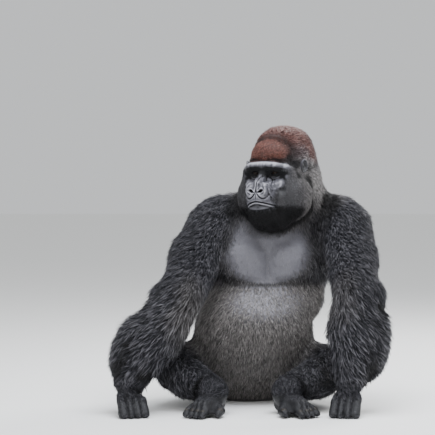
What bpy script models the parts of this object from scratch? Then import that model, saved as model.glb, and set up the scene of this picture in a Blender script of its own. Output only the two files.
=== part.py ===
"""A seated western lowland gorilla silverback, life size, as a still museum model.

The body is blocked out as a sculptor does: each muscle or bone mass is an
ellipsoid or a tapered limb. Masses that belong together are fused with a voxel
remesh, smoothed, flattened where they meet the floor, and parted at the joints
by thin discs, so that each part of the body is a solid of its own.

Metres, +Z up. The animal faces -Y and its left side is +X. The origin is the
middle of the flat that it sits on. All surfaces lie at the tips of the coat.
"""

import math

import bmesh
import bpy
from mathutils import Euler, Matrix, Vector

# Driving dimensions of the trunk and its lean towards the left shoulder
RUMP = Vector((0.0, 0.010, 0.155))
BELLY = Vector((0.018, -0.095, 0.275))
WAIST = Vector((0.055, -0.050, 0.40))
RIBS = Vector((0.085, -0.01, 0.53))
SHOULDER_MID = Vector((0.116, -0.07, 0.665))
SHOULDER_HALF_SPAN = 0.255
NECK_BASE = Vector((0.135, -0.005, 0.70))

# Joints of the limbs, (right side, left side)
ELBOW = (Vector((-0.262, -0.365, 0.415)), Vector((0.392, -0.375, 0.43)))
WRIST = (Vector((-0.450, -0.440, 0.112)), Vector((0.366, -0.440, 0.112)))
HIP = (Vector((-0.115, 0.03, 0.135)), Vector((0.12, 0.03, 0.135)))
KNEE = (Vector((-0.278, -0.205, 0.140)), Vector((0.308, -0.210, 0.140)))
ANKLE = (Vector((-0.135, -0.43, 0.082)), Vector((0.135, -0.425, 0.082)))
HAND_TURN = (math.radians(14), math.radians(-12))
FOOT_TURN = (math.radians(-20), math.radians(24))

# Head: the point between the eyes, and how the head is turned
EYES_MID = Vector((0.058, -0.250, 0.874))
HEAD_YAW = math.radians(-28)
HEAD_PITCH = math.radians(0)
HEAD_ROLL = math.radians(-2)
EYE_SPACING = 0.080
EYE_RADIUS = 0.0118
EYE_DEPTH = 0.008
EYE_RISE = 0.005

# Clearance of an eyeball in its seat, the width of a parting cut, and the two sides
GAP = 0.0003
CUT = 0.0006
SIDES = ((0, "right", -1), (1, "left", 1))

# Fineness of each form: its voxels, its smoothing steps, and its count of triangles
BODY_FORM = (0.010, 8, 2600)
HEAD_FORM = (0.0040, 4, 2000)
HAND_FORM = (0.0045, 3, 470)
FOOT_FORM = (0.0045, 4, 470)
EAR_FORM = (0.0022, 3, 150)

# Where the head and neck are parted from the body: centre, tilt in degrees, radii
HEAD_SEAT = (Vector((0, 0.093, 0.010)), -49, (0.180, 0.204, 0.282))
NECK_SEAT = (Vector((0.15, -0.02, 0.84)), 0, (0.19, 0.19, 0.19))

# Where each arm leaves the trunk: a point on the cut, and the cut's axis
ARM_CUT = (
    (Vector((-0.118, -0.12, 0.60)), Vector((-0.85, -0.35, 0.40))),
    (Vector((0.31, -0.12, 0.60)), Vector((0.88, -0.45, 0.12))),
)


def head_matrix():
    """Turns head coordinates (x to its left, y back, z up) into the model's."""
    turn = Euler((HEAD_PITCH, HEAD_ROLL, HEAD_YAW), "XYZ").to_matrix().to_4x4()
    return Matrix.Translation(EYES_MID) @ turn


def eye_centre(side):
    return Vector((side * EYE_SPACING / 2, EYE_DEPTH, EYE_RISE))


class Masses:
    """A set of overlapping rounded masses, kept in one bmesh until they are fused."""

    def __init__(self, frame=None, mesh=None):
        self.mesh = mesh or bmesh.new()
        self.frame = frame or Matrix.Identity(4)

    def within(self, frame):
        """The same set, taking its next masses in another frame."""
        return Masses(frame, self.mesh)

    def blob(self, centre, radii, turn=(0.0, 0.0, 0.0)):
        """An ellipsoid: a unit ball scaled to its three radii, turned and placed."""
        angles = Euler([math.radians(a) for a in turn])
        place = self.frame @ Matrix.LocRotScale(Vector(centre), angles, Vector(radii))
        bmesh.ops.create_icosphere(self.mesh, subdivisions=4, radius=1.0, matrix=place)

    def limb(self, start, end, start_radius, end_radius):
        """A tapered limb: a cone between two balls."""
        start, end = Vector(start), Vector(end)
        along = end - start
        turn = along.to_track_quat("Z", "Y").to_matrix().to_4x4()
        place = self.frame @ Matrix.Translation((start + end) / 2) @ turn
        bmesh.ops.create_cone(
            self.mesh,
            cap_ends=True,
            segments=24,
            radius1=start_radius,
            radius2=end_radius,
            depth=along.length,
            matrix=place,
        )
        self.blob(start, (start_radius,) * 3)
        self.blob(end, (end_radius,) * 3)


def new_collection(name):
    collection = bpy.data.collections.new(name)
    bpy.context.scene.collection.children.link(collection)
    return collection


def new_object(name, mesh, collection=None):
    obj = bpy.data.objects.new(name, mesh)
    (collection or bpy.context.scene.collection).objects.link(obj)
    return obj


def applied(obj):
    """The object's mesh with its modifiers applied, and the object removed."""
    graph = bpy.context.evaluated_depsgraph_get()
    mesh = bpy.data.meshes.new_from_object(obj.evaluated_get(graph))
    bpy.data.objects.remove(obj)
    return mesh


def as_mesh(body):
    """A bmesh written to a new mesh, and freed."""
    mesh = bpy.data.meshes.new("form")
    body.to_mesh(mesh)
    body.free()
    return mesh


def fused(masses, voxel, smoothing):
    """Fuses overlapping masses into one skin and blends their creases."""
    obj = new_object("masses", as_mesh(masses.mesh))
    remesh = obj.modifiers.new("fuse", "REMESH")
    remesh.mode = "VOXEL"
    remesh.voxel_size = voxel
    smooth = obj.modifiers.new("blend", "SMOOTH")
    smooth.factor = 0.5
    smooth.iterations = smoothing
    return applied(obj)


def carved(mesh, cutter):
    """Takes a closed cutter, a bmesh that is freed, away from a mesh."""
    tool = new_object("cutter", as_mesh(cutter), bpy.data.collections["cutters"])
    tool.hide_render = True
    tool.display_type = "WIRE"
    obj = new_object("carved", mesh)
    cut = obj.modifiers.new("cut", "BOOLEAN")
    cut.operation = "DIFFERENCE"
    cut.object = tool
    return applied(obj)


def thinned(mesh, triangles):
    """Reduces a mesh to about this many triangles, keeping its form."""
    obj = new_object("thinned", mesh)
    reduce = obj.modifiers.new("reduce", "DECIMATE")
    mesh.calc_loop_triangles()
    reduce.ratio = min(1.0, triangles / len(mesh.loop_triangles))
    reduce.use_collapse_triangulate = True
    return applied(obj)


def sliced(mesh, point, normal):
    """Keeps what lies beyond a plane, on its normal's side, and closes the cut."""
    body = bmesh.new()
    body.from_mesh(mesh)
    geometry = body.verts[:] + body.edges[:] + body.faces[:]
    cut = bmesh.ops.bisect_plane(
        body, geom=geometry, plane_co=point, plane_no=normal, clear_inner=True
    )
    rim = [e for e in cut["geom_cut"] if isinstance(e, bmesh.types.BMEdge)]
    bmesh.ops.holes_fill(body, edges=rim, sides=0)
    bmesh.ops.triangulate(body, faces=[f for f in body.faces if len(f.verts) > 4])
    return as_mesh(body)


def islands(mesh):
    """The separate closed bodies of a mesh, each as a new bmesh."""
    whole = bmesh.new()
    whole.from_mesh(mesh)
    label = {}
    count = 0
    for seed in whole.verts:
        if seed in label:
            continue
        label[seed] = count
        front = [seed]
        while front:
            vert = front.pop()
            for edge in vert.link_edges:
                other = edge.other_vert(vert)
                if other not in label:
                    label[other] = count
                    front.append(other)
        count += 1
    numbers = [label[vert] for vert in whole.verts]
    found = []
    for number in range(count):
        one = whole.copy()
        others = [vert for vert, own in zip(one.verts, numbers) if own != number]
        bmesh.ops.delete(one, geom=others, context="VERTS")
        found.append(one)
    whole.free()
    return found


def parted(mesh, cutter, point):
    """Cuts a mesh in two and gives the piece whose middle is nearest a point, and the rest."""

    def distance(body):
        middle = sum((vert.co for vert in body.verts), Vector()) / len(body.verts)
        return (middle - Vector(point)).length

    pieces = sorted(islands(carved(mesh, cutter)), key=lambda body: -len(body.verts))
    for sliver in pieces[2:]:
        sliver.free()
    piece, rest = sorted(pieces[:2], key=distance)
    return piece, as_mesh(rest)


def disc(centre, axis, radius):
    """A thin disc that parts a limb across its axis."""
    cutter = bmesh.new()
    turn = Vector(axis).to_track_quat("Z", "Y").to_matrix().to_4x4()
    place = Matrix.Translation(Vector(centre)) @ turn
    bmesh.ops.create_cone(
        cutter, cap_ends=True, segments=24, radius1=radius, radius2=radius, depth=CUT, matrix=place
    )
    return cutter


def shell(place, radii):
    """A thin hollow ellipsoid that parts what is inside it from the rest."""
    cutter = bmesh.new()
    inner = place @ Matrix.Diagonal((*(radius - CUT for radius in radii), 1))
    outer = place @ Matrix.Diagonal((*radii, 1))
    bmesh.ops.create_uvsphere(cutter, u_segments=24, v_segments=14, radius=1, matrix=inner)
    bmesh.ops.reverse_faces(cutter, faces=cutter.faces)
    bmesh.ops.create_uvsphere(cutter, u_segments=24, v_segments=14, radius=1, matrix=outer)
    return cutter


# --- masses of the body -------------------------------------------------------


def shoulder(side):
    return SHOULDER_MID + Vector((side * SHOULDER_HALF_SPAN, 0, 0))


def trunk_masses(body):
    """Rump, belly, ribs and hunched back; the breasts; the slopes up to the neck."""
    body.blob(RUMP, (0.225, 0.198, 0.182))
    body.blob(BELLY, (0.230, 0.200, 0.200))
    body.blob(WAIST, (0.240, 0.180, 0.150))
    body.blob(RIBS, (0.236, 0.185, 0.210), (8, 6, 0))
    body.limb(RUMP + Vector((0.012, 0.016, 0.11)), RIBS + Vector((0.008, 0.030, 0)), 0.186, 0.190)
    body.blob(SHOULDER_MID + Vector((-0.010, 0.098, -0.070)), (0.245, 0.182, 0.205), (12, 0, 0))
    for _, _, side in SIDES:
        breast = Vector((0.070 + side * 0.088, -0.135, 0.525))
        body.blob(breast, (0.112, 0.084, 0.110), (12, 0, side * 14))
        body.limb(NECK_BASE + Vector((side * 0.05, 0.03, 0.0)),
                  shoulder(side) + Vector((-side * 0.022, 0.03, 0.030)), 0.112, 0.098)


def arm_masses(body):
    """Deltoid, upper arm, and a forearm that its long hanging hair makes broad."""
    for index, _, side in SIDES:
        joint, elbow, wrist = shoulder(side), ELBOW[index], WRIST[index]
        upper, fore = elbow - joint, wrist - elbow
        lean = math.degrees(math.atan2(-fore.x, -fore.z))
        body.blob(joint + Vector((0, -0.01, -0.02)), (0.106, 0.125, 0.125), (20, 0, 0))
        body.limb(joint, elbow, 0.106, 0.090)
        body.blob(joint + upper * 0.5 + Vector((side * 0.012, 0.03, 0.0)),
                  (0.100, 0.150, 0.112), (40, 0, 0))
        middle = elbow + fore * 0.42
        body.limb(elbow, middle, 0.090, 0.104)
        body.limb(middle, wrist, 0.104, 0.055)
        body.blob(elbow + fore * 0.52 + Vector((side * 0.056, 0.005, 0)),
                  (0.088, 0.074, 0.148), (0, lean, 0))
        body.blob(elbow + Vector((side * 0.036, 0.022, -0.005)), (0.085, 0.078, 0.085))


def leg_masses(body):
    """Thighs out to the sides, shins folded back towards the middle."""
    for index, _, side in SIDES:
        hip, knee, ankle = HIP[index], KNEE[index], ANKLE[index]
        body.limb(hip, knee, 0.130, 0.088)
        body.limb(knee, ankle, 0.083, 0.060)
        calf = knee + (ankle - knee) * 0.42
        body.blob(calf + Vector((side * 0.012, 0.0, -0.012)), (0.082, 0.088, 0.072))


def neck_masses(body):
    """The nape slopes from the crest to the back; the throat hides behind the chin."""
    nape = head_matrix() @ Vector((0, 0.168, -0.045))
    throat = head_matrix() @ Vector((0, 0.10, -0.10))
    body.limb(NECK_BASE + Vector((0.02, 0.02, 0)), nape, 0.172, 0.141)
    body.limb(NECK_BASE + Vector((-0.02, -0.04, -0.02)), throat, 0.130, 0.105)


def head_masses(body):
    """The skull, crest, face and jaw, in head coordinates."""
    head = body.within(head_matrix())
    head.blob((0, 0.163, 0.036), (0.121, 0.160, 0.142))
    head.blob((0, 0.168, 0.096), (0.104, 0.145, 0.088))
    head.blob((0, 0.180, -0.030), (0.132, 0.154, 0.148))
    head.blob((0, 0.072, 0.064), (0.096, 0.080, 0.078))
    head.blob((0, 0.060, -0.030), (0.094, 0.074, 0.100))
    head.limb((-0.046, -0.013, 0.033), (0.046, -0.013, 0.033), 0.0185, 0.0185)
    head.limb((0, -0.010, 0.012), (0, -0.050, -0.040), 0.015, 0.021)
    head.blob((0, -0.006, -0.082), (0.072, 0.078, 0.060))
    head.blob((0, -0.036, -0.094), (0.064, 0.051, 0.034))
    head.blob((0, -0.034, -0.130), (0.058, 0.047, 0.025))
    head.blob((0, -0.014, -0.150), (0.062, 0.060, 0.044))
    head.blob((0, 0.040, -0.160), (0.088, 0.085, 0.055))
    for _, _, side in SIDES:
        head.limb((side * 0.046, -0.013, 0.033), (side * 0.088, 0.022, 0.018), 0.0185, 0.018)
        head.limb((side * 0.090, 0.026, 0.018), (side * 0.088, 0.028, -0.036), 0.016, 0.027)
        head.limb((side * 0.078, 0.022, -0.038), (side * 0.038, -0.012, -0.054), 0.026, 0.027)
        head.blob((side * 0.026, -0.057, -0.056), (0.026, 0.026, 0.028))
        head.blob((side * 0.056, 0.020, -0.098), (0.048, 0.055, 0.058))
        head.blob((side * 0.076, 0.076, -0.085), (0.072, 0.088, 0.094))
        head.blob((side * 0.080, 0.122, -0.030), (0.046, 0.105, 0.092))


def hand_masses(body, index, side):
    """A hand resting on its knuckles: back of the hand, four bent fingers, a thumb."""
    wrist = WRIST[index]
    turn = Matrix.Rotation(HAND_TURN[index], 4, "Z")
    hand = body.within(Matrix.Translation(Vector((wrist.x, wrist.y, 0))) @ turn)
    hand.limb((0, 0, wrist.z), (0, -0.045, 0.078), 0.044, 0.041)
    for finger in range(4):
        across = (finger - 1.5) * 0.0265
        reach = 0.006 * (1.0 - abs(finger - 1.3))
        knuckle = Vector((across, -0.078 - reach, 0.060))
        bend = Vector((across * 1.06, -0.128 - reach, 0.0135))
        tip = Vector((across * 0.98, -0.082 - reach, 0.012))
        hand.limb((across * 0.6, -0.014, 0.085), knuckle, 0.023, 0.020)
        hand.limb(knuckle, bend, 0.0185, 0.0175)
        hand.limb(bend, tip, 0.0175, 0.0150)
        hand.limb(tip, tip + Vector((0, 0.012, 0.018)), 0.0150, 0.0130)
    inner = -side
    hand.limb((inner * 0.028, -0.016, 0.068), (inner * 0.052, -0.042, 0.048), 0.019, 0.015)
    hand.limb((inner * 0.052, -0.042, 0.048), (inner * 0.055, -0.068, 0.028), 0.014, 0.011)


def foot_masses(body, index, side):
    """A foot flat on the floor: heel, sole, four toes and the great toe set apart."""
    ankle = ANKLE[index]
    turn = Matrix.Rotation(FOOT_TURN[index], 4, "Z")
    foot = body.within(Matrix.Translation(Vector((ankle.x, ankle.y, 0))) @ turn)
    foot.limb((0, 0, ankle.z), (0, 0.030, 0.034), 0.052, 0.037)
    foot.limb((0, -0.010, 0.055), (side * 0.008, -0.110, 0.034), 0.045, 0.036)
    for toe in range(4):
        across = side * ((toe - 1.2) * 0.0235 + 0.010)
        reach = 0.175 - 0.010 * abs(toe - 0.6)
        foot.limb((across * 0.75, -0.090, 0.032), (across, -reach + 0.028, 0.024), 0.022, 0.0165)
        foot.limb((across, -reach + 0.028, 0.024), (across * 1.03, -reach, 0.012), 0.0160, 0.0130)
    foot.limb((-side * 0.022, -0.040, 0.034), (-side * 0.060, -0.088, 0.024), 0.026, 0.021)
    foot.limb((-side * 0.060, -0.088, 0.024), (-side * 0.066, -0.128, 0.016), 0.0195, 0.0155)


# --- parting it at the joints -----------------------------------------------------


def seat_shell(seat, frame):
    """Wraps a seat: the head from nape to chin in its own frame, or the neck in the world's."""
    centre, tilt, radii = seat
    turn = Matrix.Rotation(math.radians(tilt), 4, "X")
    return shell(frame @ Matrix.Translation(centre) @ turn, radii)


def wrist_disc(index, radius):
    fore = WRIST[index] - ELBOW[index]
    return disc(WRIST[index] + fore * 0.02, fore, radius)


def ankle_disc(index):
    shin = ANKLE[index] - KNEE[index]
    return disc(ANKLE[index] - shin * 0.10, shin, 0.10)


def build_body(parts):
    """Neck, trunk, arms and legs, parted one after the other from one blended body."""
    body = Masses()
    for masses in (trunk_masses, arm_masses, leg_masses, neck_masses, head_masses):
        masses(body)
    rest = thinned(fused(body, *BODY_FORM[:2]), BODY_FORM[2])
    rest = sliced(rest, (0, 0, 0), (0, 0, 1))
    _, rest = parted(rest, seat_shell(HEAD_SEAT, head_matrix()), head_matrix() @ HEAD_SEAT[0])
    parts["neck"], rest = parted(rest, seat_shell(NECK_SEAT, Matrix.Identity(4)), NECK_BASE)
    for index, name, side in SIDES:
        joint, elbow, wrist = shoulder(side), ELBOW[index], WRIST[index]
        hip, knee, ankle = HIP[index], KNEE[index], ANKLE[index]
        upper, fore, thigh, shin = elbow - joint, wrist - elbow, knee - hip, ankle - knee
        _, rest = parted(rest, wrist_disc(index, 0.072), wrist + fore * 0.1)
        bend = upper.normalized() + fore.normalized()
        parts["forearm_" + name], rest = parted(rest, disc(elbow, bend, 0.17), elbow + fore * 0.5)
        parts["upper_arm_" + name], rest = parted(
            rest, disc(*ARM_CUT[index], 0.26), joint + upper * 0.5)
        _, rest = parted(rest, ankle_disc(index), ankle + shin * 0.1)
        fold = thigh.normalized() * 0.65 + shin.normalized() * 0.35
        parts["shin_" + name], rest = parted(rest, disc(knee, fold, 0.155), knee + shin * 0.5)
        under_belly = Vector((side * 0.72, -0.42, -0.55))
        parts["thigh_" + name], rest = parted(
            rest, disc(hip + thigh * 0.5, under_belly, 0.20), hip + thigh * 0.9)
    parts["trunk"] = islands(rest)[0]


def build_hands_and_feet(parts):
    """Hands and feet, fused more finely so that the fingers and toes show."""
    for index, name, side in SIDES:
        fore = WRIST[index] - ELBOW[index]
        shin = ANKLE[index] - KNEE[index]
        arm = Masses()
        arm.limb(ELBOW[index] + fore * 0.42, WRIST[index], 0.104, 0.055)
        hand_masses(arm, index, side)
        mesh = fused(arm, *HAND_FORM[:2])
        mesh = sliced(mesh, WRIST[index] - fore * 0.15, fore)
        mesh = sliced(thinned(mesh, HAND_FORM[2]), (0, 0, 0), (0, 0, 1))
        below = (WRIST[index].x, -0.6, 0)
        parts["hand_" + name], _ = parted(mesh, wrist_disc(index, 0.11), below)
        leg = Masses()
        leg.limb(KNEE[index], ANKLE[index], 0.083, 0.060)
        foot_masses(leg, index, side)
        mesh = fused(leg, *FOOT_FORM[:2])
        mesh = sliced(mesh, ANKLE[index] - shin * 0.30, shin)
        mesh = sliced(thinned(mesh, FOOT_FORM[2]), (0, 0, 0), (0, 0, 1))
        parts["foot_" + name], _ = parted(mesh, ankle_disc(index), (0, -0.7, 0))


def eye_sockets_and_nostrils():
    hollows = Masses(head_matrix())
    for _, _, side in SIDES:
        hollows.blob((side * 0.0400, -0.022, 0.003), (0.024, 0.0235, 0.0125))
        nostril = (side * 0.0165, -0.084, -0.0635)
        hollows.blob(nostril, (0.0100, 0.0120, 0.0065), (0, side * 25, side * 20))
    return hollows.mesh


def add_eyeball(body, side, radius):
    place = Matrix.Translation(head_matrix() @ eye_centre(side))
    bmesh.ops.create_uvsphere(body, u_segments=12, v_segments=7, radius=radius, matrix=place)


def eyeball_seats():
    seats = bmesh.new()
    for _, _, side in SIDES:
        add_eyeball(seats, side, EYE_RADIUS + GAP)
    return seats


def ear_place(side):
    """Where an ear sits: leaning back, its outer rim standing off the head."""
    centre = Vector((side * 0.1155, 0.094, 0.022))
    turn = Euler((math.radians(8), math.radians(side * 6), math.radians(side * -22)))
    return head_matrix() @ Matrix.LocRotScale(centre, turn, None)


def build_ears(parts, head_mesh):
    """Each ear is a small dished disc, cut clear of the head beside it."""
    for _, name, side in SIDES:
        ear = Masses(ear_place(side))
        ear.blob((0, 0, 0), (0.0085, 0.0165, 0.0245))
        ear.blob((-side * 0.004, -0.006, -0.016), (0.007, 0.010, 0.011))
        mesh = fused(ear, *EAR_FORM[:2])
        dish = Masses(ear_place(side))
        dish.blob((side * 0.0085, -0.001, 0.003), (0.0060, 0.0105, 0.0165))
        mesh = thinned(carved(mesh, dish.mesh), EAR_FORM[2])
        swollen = bmesh.new()
        swollen.from_mesh(head_mesh)
        for vert in swollen.verts:
            vert.co += vert.normal * GAP * 2
        pieces = islands(carved(mesh, swollen))
        parts["ear_" + name] = max(pieces, key=lambda piece: len(piece.verts))


def build_head(parts):
    """The head, fused finely, with its sockets and nostrils carved."""
    body = Masses()
    for masses in (trunk_masses, neck_masses, head_masses):
        masses(body)
    mesh = fused(body, *HEAD_FORM[:2])
    mesh = sliced(mesh, head_matrix() @ Vector((0, 0, -0.27)), (0, -0.3, 1))
    mesh = thinned(carved(mesh, eye_sockets_and_nostrils()), HEAD_FORM[2])
    mesh = carved(mesh, eyeball_seats())
    parts["head"], _ = parted(
        mesh, seat_shell(HEAD_SEAT, head_matrix()), head_matrix() @ HEAD_SEAT[0])
    head_mesh = bpy.data.meshes.new("head_form")
    parts["head"].to_mesh(head_mesh)
    build_ears(parts, head_mesh)
    for _, name, side in SIDES:
        parts["eye_" + name] = bmesh.new()
        add_eyeball(parts["eye_" + name], side, EYE_RADIUS)


# --- finish ---------------------------------------------------------------------

# Linear colour and roughness of each finish
FINISHES = {
    "coat": ((0.035, 0.034, 0.037), 0.75),
    "chestnut": ((0.12, 0.055, 0.04), 0.75),
    "skin": ((0.045, 0.045, 0.05), 0.5),
    "eyeball": ((0.05, 0.02, 0.012), 0.1),
}


def finish_of(name):
    if name.startswith("eye"):
        return "eyeball"
    if name.startswith(("hand", "foot", "ear")):
        return "skin"
    return "chestnut" if name == "head" else "coat"


def material_for(name):
    """A part's own material, with the colour and roughness of its finish."""
    finish = finish_of(name)
    colour, roughness = FINISHES[finish]
    made = bpy.data.materials.new(name + "_" + finish)
    made.use_nodes = True
    shader = made.node_tree.nodes["Principled BSDF"]
    shader.inputs["Base Color"].default_value = (*colour, 1.0)
    shader.inputs["Roughness"].default_value = roughness
    shader.inputs["Metallic"].default_value = 0.0
    return made


def joint_of(name):
    """The point that a part turns about in life, used as its object's origin."""
    kind, _, word = name.rpartition("_")
    index, side = (1, 1) if word == "left" else (0, -1)
    return {
        "trunk": RUMP,
        "neck": NECK_BASE,
        "head": NECK_SEAT[0],
        "upper_arm": shoulder(side),
        "forearm": ELBOW[index],
        "hand": WRIST[index],
        "thigh": HIP[index],
        "shin": KNEE[index],
        "foot": ANKLE[index],
        "ear": ear_place(side).translation,
        "eye": head_matrix() @ eye_centre(side),
    }[kind or name]


def place_part(name, body, collection, origin):
    """Makes a part's object, with its origin at its joint, under the common empty."""
    bmesh.ops.recalc_face_normals(body, faces=body.faces)
    mesh = as_mesh(body)
    mesh.name = name
    joint = joint_of(name)
    mesh.transform(Matrix.Translation(-joint))
    mesh.shade_smooth()
    mesh.set_sharp_from_angle(angle=math.radians(50))
    mesh.materials.append(material_for(name))
    obj = new_object(name, mesh, collection)
    obj.location = joint
    obj.parent = origin


def main():
    for obj in list(bpy.data.objects):
        bpy.data.objects.remove(obj)
    gorilla = new_collection("gorilla")
    new_collection("cutters")
    origin = new_object("gorilla_origin", None, gorilla)
    parts = {}
    build_body(parts)
    build_hands_and_feet(parts)
    build_head(parts)
    for name, body in parts.items():
        place_part(name, body, gorilla, origin)


main()
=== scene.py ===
# %% [markdown]
# # A seated silverback gorilla
#
# This notebook gives a life-size gorilla its looks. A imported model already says
# where every part of the body is, out to the tips of the hair. Here one skin is
# drawn over all of it, the face is sculpted on it, it is sunk by the depth of the
# coat, and then about 230,000 solid locks of hair are planted on it.

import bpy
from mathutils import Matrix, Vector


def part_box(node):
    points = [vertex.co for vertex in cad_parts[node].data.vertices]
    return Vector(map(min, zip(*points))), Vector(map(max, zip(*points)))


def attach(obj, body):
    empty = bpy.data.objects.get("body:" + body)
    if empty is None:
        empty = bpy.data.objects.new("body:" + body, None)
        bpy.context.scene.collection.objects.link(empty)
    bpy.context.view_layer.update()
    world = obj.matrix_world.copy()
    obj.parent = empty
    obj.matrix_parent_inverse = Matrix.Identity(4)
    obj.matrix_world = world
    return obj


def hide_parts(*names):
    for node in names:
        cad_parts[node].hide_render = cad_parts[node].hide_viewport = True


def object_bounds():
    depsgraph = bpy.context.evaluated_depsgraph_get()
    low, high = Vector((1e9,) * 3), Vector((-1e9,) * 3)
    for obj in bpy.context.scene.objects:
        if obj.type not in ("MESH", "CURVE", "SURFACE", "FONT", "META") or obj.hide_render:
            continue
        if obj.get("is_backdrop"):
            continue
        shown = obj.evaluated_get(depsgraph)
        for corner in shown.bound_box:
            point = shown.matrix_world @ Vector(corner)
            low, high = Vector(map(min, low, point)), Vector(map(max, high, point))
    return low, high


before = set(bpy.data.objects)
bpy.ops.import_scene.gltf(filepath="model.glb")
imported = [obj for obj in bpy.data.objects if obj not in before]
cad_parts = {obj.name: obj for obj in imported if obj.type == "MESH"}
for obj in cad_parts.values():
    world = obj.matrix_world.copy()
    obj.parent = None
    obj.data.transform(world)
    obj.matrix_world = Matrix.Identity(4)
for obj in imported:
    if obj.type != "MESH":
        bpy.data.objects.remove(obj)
print("parts of the model:", len(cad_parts))

# %% [markdown]
# ## The size to keep
#
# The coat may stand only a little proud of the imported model, so the model's box
# is measured now, before anything is added, and compared with it at the end.

# %% Libraries, and the size that the finished model has to keep
import math
from functools import partial

import bmesh
import bpy
import numpy as np
from mathutils import Vector

cad_low, cad_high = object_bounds()
print("model box, metres:", tuple(round(x, 3) for x in cad_high - cad_low))

# %% [markdown]
# ## Small tools
#
# Everything below works on whole arrays of points: one row for each vertex. A
# few short functions say the things that are said again and again.

# %% Array tools


def points_of(mesh):
    """The places of a mesh's vertices, one row each."""
    places = np.empty(len(mesh.vertices) * 3)
    mesh.vertices.foreach_get("co", places)
    return places.reshape(-1, 3)


def normals_of(mesh):
    """The outward normals of a mesh's vertices, one row each."""
    normals = np.empty(len(mesh.vertices) * 3)
    mesh.vertex_normals.foreach_get("vector", normals)
    return normals.reshape(-1, 3)


def unit(rows):
    """Each row divided by its length."""
    length = np.linalg.norm(rows, axis=-1, keepdims=True)
    return rows / np.maximum(length, 1e-9)


def step(low, high, x):
    """0 below low, 1 above high, and the smooth curve 3t^2 - 2t^3 between."""
    t = np.clip((x - low) / (high - low), 0.0, 1.0)
    return t * t * (3.0 - 2.0 * t)


def hill(x, middle, width):
    """The bell curve exp(-((x - middle) / width)^2)."""
    return np.exp(-(((x - middle) / width) ** 2))


print("half way up a step:", step(0.0, 1.0, 0.5))
print("one width down a hill:", round(float(hill(1.0, 0.0, 1.0)), 3))

# %% [markdown]
# ## Where the joints are
#
# The way that hair points depends on where a limb starts and ends. Two parts of
# the body meet at a thin cut, and the middle of the vertices on that cut is the
# joint, so no place has to be typed in.

# %% Joints
NODE_POINTS = {name: points_of(node.data) for name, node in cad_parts.items()}
SIDES = (("right", -1.0), ("left", 1.0))
CUT_REACH = 0.003
CUT_SLACK = 1.5


def joint(first, second):
    """The mean of the first node's vertices that lie within CUT_REACH of the second's.

    Where the two are further apart, those within CUT_SLACK times the smallest gap count.
    """
    a, b = NODE_POINTS[first], NODE_POINTS[second]
    gaps = np.linalg.norm(a[:, None, :] - b[None, :, :], axis=2).min(axis=1)
    return a[gaps < max(CUT_REACH, gaps.min() * CUT_SLACK)].mean(axis=0)


JOINTS = {}
for side, _ in SIDES:
    upper_arm, forearm, hand = (name + side for name in ("upper_arm_", "forearm_", "hand_"))
    thigh, shin, foot = (name + side for name in ("thigh_", "shin_", "foot_"))
    JOINTS["shoulder", side] = joint(upper_arm, "trunk")
    JOINTS["elbow", side] = joint(upper_arm, forearm)
    JOINTS["wrist", side] = joint(forearm, hand)
    JOINTS["hip", side] = joint(thigh, "trunk")
    JOINTS["knee", side] = joint(thigh, shin)
    JOINTS["ankle", side] = joint(shin, foot)
print({key: np.round(place, 3).tolist() for key, place in JOINTS.items()})

# %% [markdown]
# ## The head's own axes
#
# The head is turned to one side, while its face is drawn as if seen straight
# from in front. So it gets a frame of its own, found from the two eyes: x to the
# animal's left, y to the back and z up, from a point between the eyes.

# %% The head's frame
EYE_DEPTH = 0.008
EYE_RISE = 0.005


def middle(node):
    """The centre of a node's box."""
    low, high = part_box(node)
    return np.array((low + high) / 2)


EYES = {side: middle("eye_" + side) for side, _ in SIDES}
head_x = unit(EYES["left"] - EYES["right"])
head_y = unit(np.cross((0.0, 0.0, 1.0), head_x))
head_z = np.cross(head_x, head_y)
HEAD_AXES = np.array((head_x, head_y, head_z))
HEAD_ORIGIN = (EYES["left"] + EYES["right"]) / 2 - head_y * EYE_DEPTH - head_z * EYE_RISE
EYE_APART = np.linalg.norm(EYES["left"] - EYES["right"]) / 2
EYE_RADIUS = (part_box("eye_left")[1].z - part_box("eye_left")[0].z) / 2


def to_head(points):
    """World places turned into head coordinates."""
    return (points - HEAD_ORIGIN) @ HEAD_AXES.T


def from_head(points):
    """Head coordinates turned into world places."""
    return points @ HEAD_AXES + HEAD_ORIGIN


print("pupils apart, mm:", round(EYE_APART * 2000), "eye radius, mm:", round(EYE_RADIUS * 1000, 1))

# %% [markdown]
# ## Camera
#
# The stage comes first, so that each piece can be looked at as soon as it is
# made. A long lens, a little above the animal's chest, keeps the near hand and
# the far shoulder in true proportion. Its length follows from the distance and
# the width that it should see: lens = sensor * distance / width.

# %% Camera
AIM = Vector((-0.119, -0.10, 0.705))
CAMERA_DISTANCE = 9.0
CAMERA_RISE = math.radians(3.0)
FIELD_WIDTH = 1.653
SENSOR = 36.0

camera_data = bpy.data.cameras.new("camera")
camera_data.sensor_width = SENSOR
camera_data.lens = SENSOR * CAMERA_DISTANCE / FIELD_WIDTH
camera_data.clip_end = 60.0
camera = bpy.data.objects.new("camera", camera_data)
back = Vector((0.0, -math.cos(CAMERA_RISE), math.sin(CAMERA_RISE)))
camera.location = AIM + back * CAMERA_DISTANCE
camera.rotation_euler = (-back).to_track_quat("-Z", "Y").to_euler()
bpy.context.scene.collection.objects.link(camera)
bpy.context.scene.camera = camera
print("lens, mm:", round(camera_data.lens))

# %% [markdown]
# ## Colours and nodes
#
# Colours are written as people read them, in sRGB hex, and Blender wants linear
# light, so one function turns them over. One more function adds any node with
# its settings and links, which keeps each finish down to a few lines.

# %% Colour and node tools


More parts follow.
